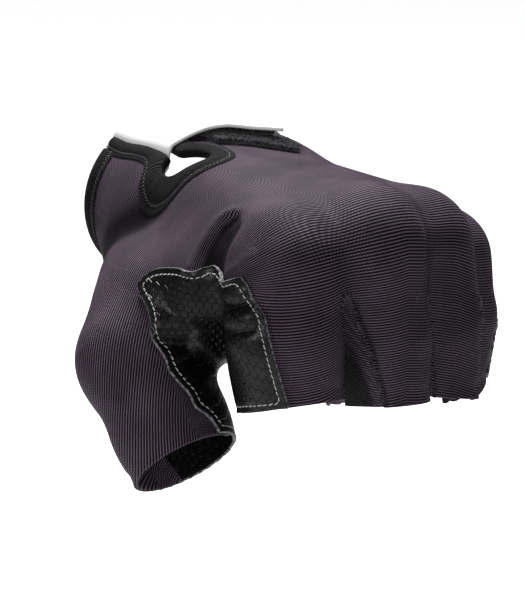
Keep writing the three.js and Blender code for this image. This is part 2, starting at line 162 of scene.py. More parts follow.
# Grooves (depth over 0) and ridges (under 0) that the bent hand puts in the cloth and the leather
FOLDS = [
    {"name": "web_fold", "depth": 3.4, "width": 1.5,
     "path": [(-44.8, -74.5, 5.4), (-42.7, -74.1, 9.9), (-39.2, -73.7, 14), (-37.3, -75.6, 16.1)]},
    {"name": "web_fold_lip", "depth": -1.3, "width": 2.2,
     "path": [(-45.5, -70.8, 4), (-43, -70.8, 10.5), (-39.5, -70.6, 14.5), (-37, -72.3, 17)]},
    {"name": "web_pocket", "depth": 3.4, "width": 3.2,
     "path": [(-45.5, -78, 5.2), (-43.6, -77.6, 10), (-40.8, -77.8, 14.2)]},
    {"name": "fist_hollow", "depth": 6, "width": 4.6,
     "path": [(-46.5, -80, -3), (-46, -79, -11), (-44, -77, -20)]},
    {"name": "web_pocket_rim", "depth": -0.8, "width": 1.6,
     "path": [(-45.8, -84.5, 5.2), (-44.9, -88.2, 7.9), (-43.2, -91, 10.8)]},
    {"name": "under_pocket_rim", "depth": 1.1, "width": 1.2,
     "path": [(-45.1, -89.8, 7), (-43.9, -92.5, 9.2), (-42.6, -94.2, 10.6)]},
    {"name": "wrist_valley", "depth": 1.6, "width": 6,
     "path": [(-29.9, -37, 12.8), (-34.3, -32.2, 5.7), (-35.9, -16.1, -7.6)]},
    {"name": "middle_knuckle_valley", "depth": 0.9, "width": 3,
     "path": [(-0.5, -102, 17), (-0.5, -107, 8), (0, -106, -4)]},
    {"name": "leather_upright", "depth": 2.6, "width": 1.5,
     "path": [(-46.2, -75.9, 0.6), (-46.4, -76.2, -5.6), (-45, -75, -11.1), (-43, -73, -18)]},
    {"name": "leather_bulge", "depth": -1.1, "width": 2.6,
     "path": [(-50, -65.3, -11.9), (-49, -66.1, -11.9), (-46.6, -69, -12.6)]},
    {"name": "leather_across_thumb", "depth": 2.4, "width": 1.3,
     "path": [(-51.6, -66, -15.6), (-50.7, -66.7, -15.9), (-47, -68.7, -16.8), (-43.3, -70.3, -17.6)]},
    {"name": "index_ridge_upper", "depth": -1.1, "width": 1.7,
     "path": [(-46.2, -84.7, -0.4), (-46, -89.4, 2), (-45.5, -91.3, 3.2)]},
    {"name": "index_groove_upper", "depth": 1.6, "width": 1.1,
     "path": [(-46.3, -85.3, -2.9), (-45.9, -91.7, -0.2), (-45.4, -93.2, 0.6)]},
    {"name": "index_ridge_lower", "depth": -1.0, "width": 1.7,
     "path": [(-46.8, -87.1, -5.4), (-46.5, -93.2, -3.2), (-45.7, -95.1, -2.2)]},
    {"name": "index_groove_lower", "depth": 1.6, "width": 1.2,
     "path": [(-47, -87.1, -8.4), (-47, -94.1, -5.6), (-46.1, -95.9, -4.7)]},
]

# The ribs bend over the knuckles about this line, and round the index knuckle towards the thumb.
# A pair of numbers is where a change begins and ends.
KNUCKLE_LINE = [(-46, -83, 3), (-30, -84, 4.5), (-10.5, -90, 7.5), (10, -86, 3), (27.8, -77, -5), (44, -73, -8)]
KNIT_BEND = {"radius": 16.5, "turn": (-30, -96), "seam": (-76.6, -74.4), "seam_fades": 20, "arc": (28, 34),
             "step_ends": (46, 53), "fold_ends": (13, 16), "side_pull": 0.8, "thumb_side": (18, 44),
             "little_side": (12, 36)}

# The notch in the back of the cuff: a leaning slit that ends in a rounder keyhole
NOTCH = {"flap_x": -19.8, "lean": 0.13, "slit_width": 2.8, "slit_opens": 8, "opens_over": (-25, 3),
         "slit_end": -31, "key": (-22.2, -35.8), "key_turn": 34, "key_half": (3.7, 7), "back_from_z": 2,
         "flap_tape": 3.4, "tape_widens": (-22, -27)}
# The tape's section, by share of its width: a roll, then a sewn line, then a flat lip
TAPE = {"roll_at": 0.32, "roll_half": 0.42, "roll": 0.75, "sewn_at": 0.78, "sewn": 0.35, "sewn_half": 0.45,
        "lip": 0.45, "under_knit": 0.2, "key_radius": 8, "straight_from": 4}

# The wrist strap, by angle about the wrist's axis from the back of the hand, in degrees
STRAP = {"start": -60, "rise_from": -57, "rise_to": -44, "pad_from": -13, "end": (34, 11), "end_lifts": 0.9,
         "under_knit": 0.7, "over_tape": 1.1,
         "near_edge": [(-60, 1), (-43, 0.3), (-24, -2.2), (0, -8), (11, -11), (34, -16.5)],
         "far_edge": [(-60, -28.5), (-51, -28), (-43, -28.3), (-35, -28.9), (-24, -30.2), (-13, -32.5), (0, -37),
                      (11, -41)]}
END_LIFTS_OVER = (-5, 15)
PADS = {"loop": 1.2, "hook": 0.9, "gap": 0.3, "hook_from": -24, "loop_from": -26, "hook_inset": 1.5,
        "hook_short": 2, "loop_inset": 1, "loop_past": 7, "pile_under": 4,
        "loop_edge": [(-30, -33.5), (-20, -36), (-10, -39), (0, -43), (12, -46), (60, -44)]}

WRIST_RADIUS = 24  # turns an angle about the wrist into a length for the tape and the strap

# The photograph's camera: angles in degrees, distances in mm, image places in its pixels
CAMERA = {"azimuth": -39, "elevation": 18, "roll": 1.6, "distance": 547, "focal_px": 2069,
          "target": (0, -50, -15), "target_px": (285, 286), "image": (525, 600)}
# Lights by their place from the camera's target and their size, in metres, with their power in watts
LIGHTS = [
    {"name": "key_light", "place": (0.25, 0.42, 0.87), "size": 0.35, "power": 27},
    {"name": "left_light", "place": (-0.95, 0.1, 0.25), "size": 0.25, "power": 3},
    {"name": "front_light", "place": (-0.6, -0.8, 0.3), "size": 0.16, "power": 4},
]
# The floor lies some metres under the glove. A glow is what lights the glove, then what the camera sees.
FLOOR = {"drop": 0.32, "radius": 4, "glow": (0.02, 0.94)}
STUDIO_GLOW = (0.03, 1.0)
BLACK = (0.001, 0.001, 0.001, 1)


class GloveSizes(bpy.types.PropertyGroup):
    """Sizes of the cloth, the leather, the tape and the stitches"""

    knit_wall: FloatProperty(
        name="Knit wall", description="Thickness of the knit", subtype="DISTANCE",
        default=1.4 * MM, min=0.5 * MM)
    leather_wall: FloatProperty(
        name="Leather wall", description="Thickness of the leather", subtype="DISTANCE",
        default=0.9 * MM, min=0.5 * MM)
    rib_pitch: FloatProperty(
        name="Rib pitch", description="Distance between two ribs of the knit", subtype="DISTANCE",
        default=0.68 * MM, min=0.3 * MM)
    hexagon: FloatProperty(
        name="Hexagon", description="Width of one embossed cell", subtype="DISTANCE",
        default=1.85 * MM, min=0.5 * MM)
    cuff_tape: FloatProperty(
        name="Cuff tape", description="Width of the tape round the cuff", subtype="DISTANCE",
        default=4.4 * MM, min=2 * MM)
    keyhole_tape: FloatProperty(
        name="Keyhole tape", description="Width of the tape round the keyhole", subtype="DISTANCE",
        default=5.6 * MM, min=2 * MM)
    strap_wall: FloatProperty(
        name="Strap wall", description="Thickness of the strap", subtype="DISTANCE",
        default=1.1 * MM, min=0.5 * MM)
    stitch_pitch: FloatProperty(
        name="Stitch pitch", description="Length of one topstitch and its gap", subtype="DISTANCE",
        default=1.55 * MM, min=1 * MM)
    topstitch_inset: FloatProperty(
        name="Topstitch inset", description="From the leather's edge to its topstitch", subtype="DISTANCE",
        default=1.5 * MM, min=0.5 * MM)


class GloveColours(bpy.types.PropertyGroup):
    """Colours of the finishes, linear"""

    knit_dark: FloatVectorProperty(
        name="Knit valley", description="Between two ribs", subtype="COLOR",
        default=(0.003, 0.0025, 0.0035))
    knit_light: FloatVectorProperty(
        name="Knit rib", description="On a rib", subtype="COLOR", default=(0.17, 0.124, 0.172))
    leather: FloatVectorProperty(
        name="Leather", description="Embossed face", subtype="COLOR", default=(0.0045, 0.0045, 0.005))
    raw_edge: FloatVectorProperty(
        name="Raw edge", description="Cut edge of the leather", subtype="COLOR", default=(0.2, 0.19, 0.21))
    tape: FloatVectorProperty(
        name="Tape", description="Elastic tape", subtype="COLOR", default=(0.01984, 0.01664, 0.01984))
    strap: FloatVectorProperty(
        name="Strap", description="Wrist strap", subtype="COLOR", default=(0.74, 0.74, 0.73))
    thread: FloatVectorProperty(
        name="Topstitch", description="Thread on the leather", subtype="COLOR", default=(0.55, 0.54, 0.5))
    dark_thread: FloatVectorProperty(
        name="Seam thread", description="Thread on tape and knit", subtype="COLOR",
        default=(0.055, 0.05, 0.058))


def sizes():
    """The sizes in millimetres."""
    group = bpy.context.scene.glove_sizes
    return SimpleNamespace(**{name: round(getattr(group, name) / MM, 4) for name in GloveSizes.__annotations__})


def colours():
    return bpy.context.scene.glove_colours


# The form of the glove, as distances from its outer face


def rod(p, a, ra, b, rb):
    """Distance from each p to a tapered rod with round ends."""
    a = np.asarray(a, float)
    ab = np.asarray(b, float) - a
    ap = p - a
    length2 = ab @ ab
    taper = ra - rb
    slope2 = length2 - taper * taper
    along = ap @ ab
    past = along - length2
    side2 = ((ap * length2 - along[:, None] * ab) ** 2).sum(1)
    edge = np.sign(taper) * taper * taper * side2
    middle = (np.sqrt(side2 * slope2 / length2) + along * taper) / length2 - ra
    near_end = np.sqrt(side2 + along * along * length2) / length2 - ra
    far_end = np.sqrt(side2 + past * past * length2) / length2 - rb
    distance = np.where(np.sign(along) * slope2 * along * along * length2 < edge, near_end, middle)
    return np.where(np.sign(past) * slope2 * past * past * length2 > edge, far_end, distance)


def blend(a, b, k):
    """The smaller of two distances, rounded over by k where they are alike."""
    h = np.clip(0.5 + 0.5 * (b - a) / k, 0, 1)
    return b + (a - b) * h - k * h * (1 - h)


def blend_all(distances, k):
    return functools.reduce(lambda a, b: blend(a, b, k), distances)


def rods(p, rows, k):
    return blend_all([rod(p, r["from"], r["r0"], r["to"], r["r1"]) for r in rows], k)


def stub(p, finger):
    upper = rod(p, finger["knuckle"], finger["r0"], finger["mid"], finger["r1"])
    lower = rod(p, finger["mid"], finger["r1"], finger["tip"], finger["r2"])
    return blend(upper, lower, BLEND["finger"])


def hand_form(p):
    body = rods(p, BODY, BLEND["body"])
    fingers = blend_all([stub(p, f) for f in FINGERS], BLEND["between_fingers"])
    with_thumb = blend(body, rods(p, THUMB, BLEND["thumb"]), BLEND["thumb_root"])
    return blend(blend(body, fingers, BLEND["knuckles"]), with_thumb, BLEND["thumb_to_fingers"])


def path_distance(p, path):
    """Distance from each p to a path of straight stretches."""
    path = np.asarray(path, float)
    nearest = np.full(len(p), np.inf)
    for a, b in zip(path[:-1], path[1:]):
        ab = b - a
        t = np.clip((p - a) @ ab / (ab @ ab), 0, 1)
        nearest = np.minimum(nearest, np.linalg.norm(p - a - t[:, None] * ab, axis=1))
    return nearest


@functools.lru_cache(maxsize=None)
def fold_paths():
    """The folds' paths, laid on to the hand's form."""
    return [settle(hand_form, np.asarray(fold["path"], float), 6) for fold in FOLDS]


def fold_depth(p, names=None):
    depth = np.zeros(len(p))
    for fold, path in zip(FOLDS, fold_paths()):
        if names is None or fold["name"] in names:
            depth += fold["depth"] * np.exp(-(path_distance(p, path) / fold["width"]) ** 2)
    return depth


def slot_opening(p, slot):
    """From 0 at the slot's roof to 1 near the cut ends."""
    return np.clip((slot["roof_z"] - p[:, 2]) / SLOT_RUN["opens_over"], 0, 1)


def slot_middle(p, slot):
    return slot["x"] + slot["lean"] * p[:, 2]


def slot_half(opening, slot, run):
    """Half of the slot's width, from its front at run 0 to its back at run 1."""
    half = (slot["front"] + (slot["back"] - slot["front"]) * run) / 2
    return 0.35 + (half - 0.35) * opening ** slot["widening"]


def slot_form(p, slot):
    """Distance from the slot between two stubs, under 0 inside it."""
    run = (p[:, 1] - SLOT_RUN["front_y"]) / (SLOT_RUN["back_y"] - SLOT_RUN["front_y"])
    half = slot_half(slot_opening(p, slot), slot, run)
    side = np.abs(p[:, 0] - slot_middle(p, slot)) - half
    fall = np.clip((p[:, 1] - SLOT_RUN["bend_y"]) / (SLOT_RUN["back_y"] - SLOT_RUN["bend_y"]), 0, 1)
    roof = p[:, 2] - slot["roof_z"] + SLOT_RUN["fall"] * fall
    back = p[:, 1] - SLOT_RUN["back_y"]
    return -blend_all([-side, -roof, -back], 0.8)


def cloth_form(p):
    """The glove's outer face with its folds and the slots between the stubs."""
    d = hand_form(p) + fold_depth(p)
    for slot in SLOTS:
        d = -blend(-d, slot_form(p, slot), 2.2)
    return d


def inside_planes(p, rows):
    """Distance into the space on the inner side of all the planes."""
    distances = []
    for plane in rows:
        out = np.asarray(plane["out"], float)
        distance = -(p - np.asarray(plane["at"], float)) @ out / np.linalg.norm(out)
        if "wanders" in plane:
            distance = distance + np.interp(p[:, plane["along"]], *zip(*plane["wanders"]))
        distances.append(distance)
    return blend_all(distances, LEATHER_ROUNDING)


def leather_form(p):
    """Under 0 where the leather covers the glove."""
    palm, thumb, index = (inside_planes(p, LEATHER_PLANES[name]) for name in ("palm", "thumb", "index"))
    return -blend(palm, -blend(-thumb, -index, 2), LEATHER_ROUNDING)


def notch_form(p):
    """Distance in the plan view from the notch in the cuff, under 0 in it. Far over 0 on the palm side."""
    x, y = p[:, 0], p[:, 1]
    past_flap = x - NOTCH["flap_x"] - NOTCH["lean"] * y
    width = NOTCH["slit_width"] + NOTCH["slit_opens"] * smoothstep(y, *NOTCH["opens_over"])
    slit = np.maximum(np.maximum(-past_flap, past_flap - width), NOTCH["slit_end"] - y)
    turn = math.radians(NOTCH["key_turn"])
    dx, dy = x - NOTCH["key"][0], y - NOTCH["key"][1]
    across = (dx * math.cos(turn) + dy * math.sin(turn)) / NOTCH["key_half"][0]
    along = (dy * math.cos(turn) - dx * math.sin(turn)) / NOTCH["key_half"][1]
    radius = np.hypot(across, along) + 1e-6
    key = (radius - 1) * np.hypot(dx, dy) / radius
    return np.where(p[:, 2] > NOTCH["back_from_z"], blend(slit, key, 1.5), FAR)


def notch_tape_form(p):
    """Distance from the outer edge of the notch's tape, which is narrower along the flap."""
    wide = smoothstep(-p[:, 1], -NOTCH["tape_widens"][0], -NOTCH["tape_widens"][1])
    width = NOTCH["flap_tape"] + (sizes().keyhole_tape - NOTCH["flap_tape"]) * wide
    return notch_form(p) - width


def end_form(p):
    """Height over the cut of the stub or the thumb that each p belongs to, under 0 past the cut."""
    distances = [stub(p, f) for f in FINGERS] + [rods(p, THUMB, BLEND["thumb"]), rods(p, BODY, 1)]
    heights = []
    for f in FINGERS:
        slope = f["rise_x"] * (p[:, 0] - f["tip"][0]) + f["rise_y"] * (p[:, 1] - f["tip"][1])
        heights.append(p[:, 2] - f["cut_z"] - slope)
    axis = np.asarray(THUMB_CUT["axis"])
    heights.append(-(p - np.asarray(THUMB_CUT["at"])) @ axis / np.linalg.norm(axis))
    heights.append(np.full(len(p), FAR))
    share = np.exp(-np.clip(np.stack(distances, 1) - np.min(distances, 0)[:, None], 0, 40))
    return (share * np.stack(heights, 1)).sum(1) / share.sum(1)


def seam_form(p, slot):
    """Under 0 between the two seams of a side wall."""
    opening = slot_opening(p, slot)
    x = p[:, 0] - slot_middle(p, slot)
    half = slot_half(opening, slot, SLOT_RUN["seam_run"])
    right = slot["seam_right"] * (0.3 + 0.7 * opening ** 0.5)
    side = np.maximum(-x - half - slot["seam_left"], x - half - right)
    return np.maximum(side, p[:, 2] - slot["roof_z"] - 1)


def smoothstep(x, low, high):
    t = np.clip((x - low) / (high - low), 0, 1)
    return t * t * (3 - 2 * t)


def gradient(field, p, h=0.03):
    g = np.empty(p.shape)
    for axis in range(3):
        step = np.zeros(3)
        step[axis] = h
        g[:, axis] = (field(p + step) - field(p - step)) / (2 * h)
    return g


def unit(vectors):
    return vectors / (np.linalg.norm(vectors, axis=-1, keepdims=True) + 1e-12)


def settle(field, p, rounds=3):
    for _ in range(rounds):
        g = gradient(field, p)
        p = p - g * (field(p) / (g * g).sum(1))[:, None]
    return p


# Meshes as arrays


class Patch:
    """A piece of surface: points, their outward directions, and triangles."""

    def __init__(self, points, normals, triangles):
        self.points, self.normals, self.triangles = points, normals, triangles

    def clipped(self, field):
        """The part where field is over 0, cut cleanly along field = 0."""
        points, value = snapped(self, field)
        inside = value >= 0
        tri = self.triangles
        count = inside[tri].sum(1)
        whole = tri[count == 3]
        one, two = tri[count == 1], tri[count == 2]
        one = odd_first(one, inside[one])
        two = odd_first(two, ~inside[two])
        edges = np.concatenate([one[:, [0, 1]], one[:, [0, 2]], two[:, [0, 1]], two[:, [0, 2]]])
        edges = np.sort(edges, 1)
        unique, back = np.unique(edges, axis=0, return_inverse=True)
        back = back.reshape(-1)
        a, b = unique[:, 0], unique[:, 1]
        t = value[a] / (value[a] - value[b])
        cut_points = points[a] + (points[b] - points[a]) * t[:, None]
        cut_normals = unit(self.normals[a] + (self.normals[b] - self.normals[a]) * t[:, None])
        cut = back + len(points)
        n1, n2 = len(one), len(two)
        ab1, ac1, ab2, ac2 = np.split(cut, [n1, 2 * n1, 2 * n1 + n2])
        triangles = np.concatenate([
            whole,
            np.stack([one[:, 0], ab1, ac1], 1),
            np.stack([ab2, two[:, 1], two[:, 2]], 1),
            np.stack([ab2, two[:, 2], ac2], 1),
        ])
        points = np.concatenate([points, cut_points])
        normals = np.concatenate([self.normals, cut_normals])
        return tidied(points, normals, triangles)

    def rim(self):
        """The directed edges that have a triangle on one side only."""
        t = self.triangles
        edges = np.concatenate([t[:, [0, 1]], t[:, [1, 2]], t[:, [2, 0]]])
        count = len(self.points)
        key = edges[:, 0] * count + edges[:, 1]
        twin = edges[:, 1] * count + edges[:, 0]
        return edges[~np.isin(key, twin)]

    def loops(self):
        """The rim as closed runs of point numbers."""
        follow = {int(a): int(b) for a, b in self.rim()}
        runs = []
        while follow:
            start, at = follow.popitem()
            run = [start]
            while at != start and at in follow:
                run.append(at)
                at = follow.pop(at)
            runs.append(run)
        return runs


def rim_distance(patch):
    """A field: how far a place is from the patch's rim, in millimetres."""
    rim = patch.rim()
    a, b = patch.points[rim[:, 0]], patch.points[rim[:, 1]]
    steps = np.concatenate([a + (b - a) * t for t in (0, 0.2, 0.4, 0.6, 0.8)])
    tree = KDTree(len(steps))
    for i, place in enumerate(steps):
        tree.insert(place, i)
    tree.balance()
    return lambda p: np.array([tree.find(q)[2] for q in p])


def odd_first(triangles, odd):
    """Turns each triangle so that its one odd corner comes first."""
    turn = odd.argmax(1) if len(triangles) else np.zeros(0, int)
    columns = (turn[:, None] + np.arange(3)) % 3
    return np.take_along_axis(triangles, columns, 1)


def snapped(patch, field):
    """Moves points that lie very near field = 0 on to it, so that the cut leaves no slivers."""
    points = patch.points.copy()
    value = field(points)
    near = np.nonzero(np.abs(value) < 0.22 * CELL)[0]
    if len(near):
        g = gradient(field, points[near])
        n = patch.normals[near]
        g -= n * (g * n).sum(1)[:, None]
        size = np.maximum((g * g).sum(1), 0.2)
        points[near] -= g * (value[near] / size)[:, None]
        value[near] = 0
    return points, value


def tidied(points, normals, triangles):
    """Merges points that coincide and drops what no triangle uses."""
    keys = np.round(points * 2000).astype(np.int64)
    _, first, back = np.unique(keys, axis=0, return_index=True, return_inverse=True)
    triangles = back.reshape(-1)[triangles]
    a, b, c = triangles.T
    triangles = triangles[(a != b) & (b != c) & (a != c)]
    used, triangles = np.unique(triangles, return_inverse=True)
    keep = first[used]
    return Patch(points[keep], normals[keep], triangles.reshape(-1, 3))


def sampled_field(field, low, high, cell):
    """field on a grid, worked out only near its surface."""
    coarse = 4
    low, high = np.asarray(low, float), np.asarray(high, float)
    n = np.ceil((high - low) / cell / coarse).astype(int) * coarse + 1
    axes = [low[i] + cell * np.arange(n[i]) for i in range(3)]
    rough_axes = [a[::coarse] for a in axes]
    rough_points = np.stack(np.meshgrid(*rough_axes, indexing="ij"), -1).reshape(-1, 3)
    rough = field(rough_points).reshape([len(a) for a in rough_axes])
    nearest = [np.minimum((np.arange(m) + coarse // 2) // coarse, len(a) - 1) for m, a in zip(n, rough_axes)]
    value = rough[np.ix_(*nearest)].copy()
    close = np.abs(value) < coarse * cell * 1.6
    places = np.stack(np.nonzero(close), -1)
    points = low + places * cell
    value[close] = np.concatenate([field(part) for part in np.array_split(points, 12)])
    return value, low


def surface_net(field, low, high, cell):
    """A patch on field = 0, with one point in each grid cell that the surface crosses."""
    value, low = sampled_field(field, low, high, cell)
    n = np.array(value.shape)
    inside = value < 0
    total = np.zeros(tuple(n - 1) + (3,))
    count = np.zeros(tuple(n - 1))
    for axis in range(3):
        for s in (0, 1):
            for t in (0, 1):
                offset = [0, 0, 0]
                offset[(axis + 1) % 3], offset[(axis + 2) % 3] = s, t
                start = tuple(slice(o, m - 1 + o) for o, m in zip(offset, n))
                offset[axis] = 1
                end = tuple(slice(o, m - 1 + o) for o, m in zip(offset, n))
                crosses = inside[start] != inside[end]
                v0, v1 = value[start][crosses], value[end][crosses]
                place = np.zeros((len(v0), 3))
                place[:, (axis + 1) % 3], place[:, (axis + 2) % 3] = s, t
                place[:, axis] = v0 / (v0 - v1)
                total[crosses] += place
                count[crosses] += 1
    full = count > 0
    number = np.full(full.shape, -1)
    number[full] = np.arange(full.sum())
    points = low + cell * (np.stack(np.nonzero(full), -1) + total[full] / count[full][:, None])
    quads = []
    for axis in range(3):
        u, w = (axis + 1) % 3, (axis + 2) % 3
        start = [slice(1, m - 1) for m in n]
        start[axis] = slice(0, n[axis] - 1)
        end = list(start)
        end[axis] = slice(1, n[axis])
        places = np.stack(np.nonzero(inside[tuple(start)] != inside[tuple(end)]), -1)
        outward = inside[tuple(start)][tuple(places.T)]
        places += 1
        places[:, axis] -= 1
        corners = []
        for du, dw in ((1, 1), (0, 1), (0, 0), (1, 0)):
            corner = places.copy()
            corner[:, u] -= du
            corner[:, w] -= dw
            corners.append(number[tuple(corner.T)])
        quad = np.stack(corners, -1)
        quad[~outward] = quad[~outward][:, ::-1]
        quads.append(quad)
    quads = np.concatenate(quads)
    triangles = np.concatenate([quads[:, [0, 1, 2]], quads[:, [0, 2, 3]]])
    points = settle(field, points)
    return Patch(points, unit(gradient(field, points)), triangles)


@functools.lru_cache(maxsize=None)
def glove_surface():
    """The whole outer face, cut at the wrist and at the five ends."""
    low, high = (-69, -116, -62), (45, 6, 31)
    whole = surface_net(cloth_form, low, high, CELL * (1))
    return whole.clipped(lambda p: -p[:, 1]).clipped(end_form)


def wall(patch, outer, inner, roundness=0.8):
    """A closed wall between two levels of a patch: points, faces, their slots, and each point's source."""
    n, p = patch.normals, patch.points
    count = len(p)
    outer = np.broadcast_to(outer, count)[:, None]
    inner = np.broadcast_to(inner, count)[:, None]
    top, bottom = p + n * outer, p + n * inner
    rim = patch.rim()
    away = np.zeros_like(p)
    side = np.cross(unit(p[rim[:, 1]] - p[rim[:, 0]]), n[rim[:, 0]])
    np.add.at(away, rim[:, 0], side)
    np.add.at(away, rim[:, 1], side)
    edge = np.unique(rim)
    place = np.zeros(count, int)
    place[edge] = np.arange(len(edge))
    half = (top[edge] - bottom[edge]) / 2
    middle = (top[edge] + bottom[edge]) / 2
    bulge = unit(away[edge]) * np.linalg.norm(half, axis=1, keepdims=True) * roundness
    turns = (math.pi / 4, math.pi / 2, 3 * math.pi / 4)
    rows = [middle + half * math.cos(a) + bulge * math.sin(a) for a in turns]
    points = np.concatenate([top, bottom] + rows)
    a, b = rim[:, 0], rim[:, 1]
    levels = [(a, b)]
    for i in range(len(rows)):
        base = 2 * count + i * len(edge)
        levels.append((base + place[a], base + place[b]))
    levels.append((a + count, b + count))
    strips = []
    for (a0, b0), (a1, b1) in zip(levels[:-1], levels[1:]):
        strips.append(np.stack([b0, a0, a1], 1))
        strips.append(np.stack([b0, a1, b1], 1))
    faces = [patch.triangles, patch.triangles[:, ::-1] + count] + strips
    slots = np.concatenate([np.full(len(f), 0 if i < 2 else 1) for i, f in enumerate(faces)])
    source = np.concatenate([np.arange(count), np.arange(count)] + [edge] * len(rows))
    return points, np.concatenate(faces), slots, source


def mesh_object(name, points, triangles, uv=None, materials=(), slots=None):
    """A smooth mesh object at the origin, in metres, with its UV by point or by corner."""
    mesh = bpy.data.meshes.new(name)
    mesh.vertices.add(len(points))
    mesh.vertices.foreach_set("co", (points * MM).ravel())
    mesh.loops.add(triangles.size)
    mesh.loops.foreach_set("vertex_index", triangles.ravel().astype(np.int32))
    mesh.polygons.add(len(triangles))
    mesh.polygons.foreach_set("loop_start", np.arange(0, triangles.size, 3, dtype=np.int32))
    if slots is not None and len(materials) > 1:
        mesh.polygons.foreach_set("material_index", slots.astype(np.int32))
    if uv is not None:
        corners = uv[triangles.ravel()] if len(uv) == len(points) else uv
        mesh.uv_layers.new(name="weave").data.foreach_set("uv", corners.ravel())
    mesh.update(calc_edges=True)
    mesh.validate()
    mesh.shade_smooth()
    obj = bpy.data.objects.new(name, mesh)
    bpy.context.scene.collection.objects.link(obj)
    for material in materials:
        mesh.materials.append(material)
    return obj


def dress(obj, slot, *nodes):
    """Puts a piece on the frame, in the place of its CAD nodes."""
    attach(obj, BODY_NAME)
    if nodes:
        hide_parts(*nodes)


# Materials


def socket_of(tree, target, value):
    if isinstance(value, bpy.types.NodeSocket):
        tree.links.new(value, target)
    else:
        target.default_value = value


def math_node(tree, operation, a, b=0.0, c=0.0):
    node = tree.nodes.new("ShaderNodeMath")
    node.operation = operation
    for target, value in zip(node.inputs, (a, b, c)):
        socket_of(tree, target, value)
    return node.outputs[0]


def vector_node(tree, operation, a, b=(0, 0, 0), c=(0, 0, 0)):
    node = tree.nodes.new("ShaderNodeVectorMath")
    node.operation = operation
    for target, value in zip(node.inputs, (a, b, c)):
        socket_of(tree, target, value)
    return node.outputs["Value"] if operation in ("DOT_PRODUCT", "LENGTH") else node.outputs[0]


def mix_colour(tree, factor, a, b):
    node = tree.nodes.new("ShaderNodeMix")
    node.data_type = "RGBA"
    socket_of(tree, node.inputs["Factor"], factor)
    socket_of(tree, node.inputs[6], a)
    socket_of(tree, node.inputs[7], b)
    return node.outputs[2]


def noise_node(tree, scale, detail=2.0, vector=None):
    node = tree.nodes.new("ShaderNodeTexNoise")
    node.inputs["Scale"].default_value = scale
    node.inputs["Detail"].default_value = detail
    if vector is None:
        vector = tree.nodes.new("ShaderNodeTexCoord").outputs["Object"]
    tree.links.new(vector, node.inputs["Vector"])
    return node.outputs["Fac"]


def ramp(tree, value, low, high, to_low=0.0, to_high=1.0):
    node = tree.nodes.new("ShaderNodeMapRange")
    node.interpolation_type = "SMOOTHSTEP"
    given = {"Value": value, "From Min": low, "From Max": high, "To Min": to_low, "To Max": to_high}
    for name, setting in given.items():
        socket_of(tree, node.inputs[name], setting)
    return node.outputs[0]


def weave_uv(tree):
    """The piece's own coordinates in millimetres: across the ribs and along them."""
    node = tree.nodes.new("ShaderNodeUVMap")
    node.uv_map = "weave"
    parts = tree.nodes.new("ShaderNodeSeparateXYZ")
    tree.links.new(node.outputs[0], parts.inputs[0])
    return node.outputs[0], parts.outputs[0], parts.outputs[1]


def cover(tree, shader, colour, height, depth, strength=1.0):
    """Gives a shader its colour and a relief of some millimetres."""
    node = tree.nodes.new("ShaderNodeBump")
    node.inputs["Distance"].default_value = depth * MM
    node.inputs["Strength"].default_value = strength
    tree.links.new(height, node.inputs["Height"])
    tree.links.new(node.outputs[0], shader.inputs["Normal"])
    tree.links.new(colour, shader.inputs["Base Color"])


def new_material(name, roughness=0.7, sheen=0.0, sheen_tint=(1, 1, 1), sheen_roughness=0.4, specular=0.5):
    material = bpy.data.materials.new(name)
    material.use_nodes = True
    tree = material.node_tree
    shader = tree.nodes["Principled BSDF"]
    shader.inputs["Roughness"].default_value = roughness
    shader.inputs["Sheen Weight"].default_value = sheen
    shader.inputs["Sheen Tint"].default_value = (*sheen_tint, 1)
    shader.inputs["Sheen Roughness"].default_value = sheen_roughness
    shader.inputs["Specular IOR Level"].default_value = specular
    return material, tree, shader


def rgba(colour):
    return (*colour, 1.0)


def wave(tree, value, pitch, shift=0.0):
    """From 0 to 1 and back once each pitch."""
    turn = math_node(tree, "MULTIPLY_ADD", value, 2 * math.pi / pitch, shift)
    return math_node(tree, "MULTIPLY_ADD", math_node(tree, "SINE", turn), 0.5, 0.5)


@functools.lru_cache(maxsize=None)
def knit_material():
    """Ribbed stretch knit: rows of small loops with dark valleys between them, and painted shade darkening its
    folds and the cloth beside the slot seams.
    """
    material, tree, shader = new_material(
        "ribbed_knit", roughness=0.6, sheen=0.02, sheen_tint=(0.82, 0.7, 0.9), sheen_roughness=0.5,
        specular=0.05)
    _, across, along = weave_uv(tree)
    pitch = sizes().rib_pitch
    rib = wave(tree, across, pitch)
    row = math_node(tree, "FLOOR", math_node(tree, "DIVIDE", across, pitch))
    loop = wave(tree, math_node(tree, "MULTIPLY_ADD", row, pitch * 0.37, along), pitch * 0.74)
    height = math_node(tree, "MULTIPLY", rib, math_node(tree, "MULTIPLY_ADD", loop, 0.3, 0.7))
    uneven = ramp(tree, noise_node(tree, 90, 3), 0.3, 0.7, 0.75, 1.15)
    tone = math_node(tree, "MULTIPLY", math_node(tree, "POWER", height, 2.3), uneven)
    colour = mix_colour(tree, tone, rgba(colours().knit_dark), rgba(colours().knit_light))
    # painted shade: the knit's colour is darkened towards black in folds and beside slot seams, where shade
    # falls
    painted_shade = ramp(tree, attribute_node(tree, "painted_crease_shade"), 0.0, 1.0, 0.0, 0.93)
    colour = mix_colour(tree, painted_shade, colour, BLACK)
    lint = ramp(tree, noise_node(tree, 1500, 1), 0.785, 0.8)
    colour = mix_colour(tree, math_node(tree, "MULTIPLY", lint, 0.5), colour, (0.3, 0.29, 0.3, 1))
    cover(tree, shader, colour, height, 0.18, 0.8)
    return material


def attribute_node(tree, name):
    node = tree.nodes.new("ShaderNodeAttribute")
    node.attribute_name = name
    return node.outputs["Fac"]


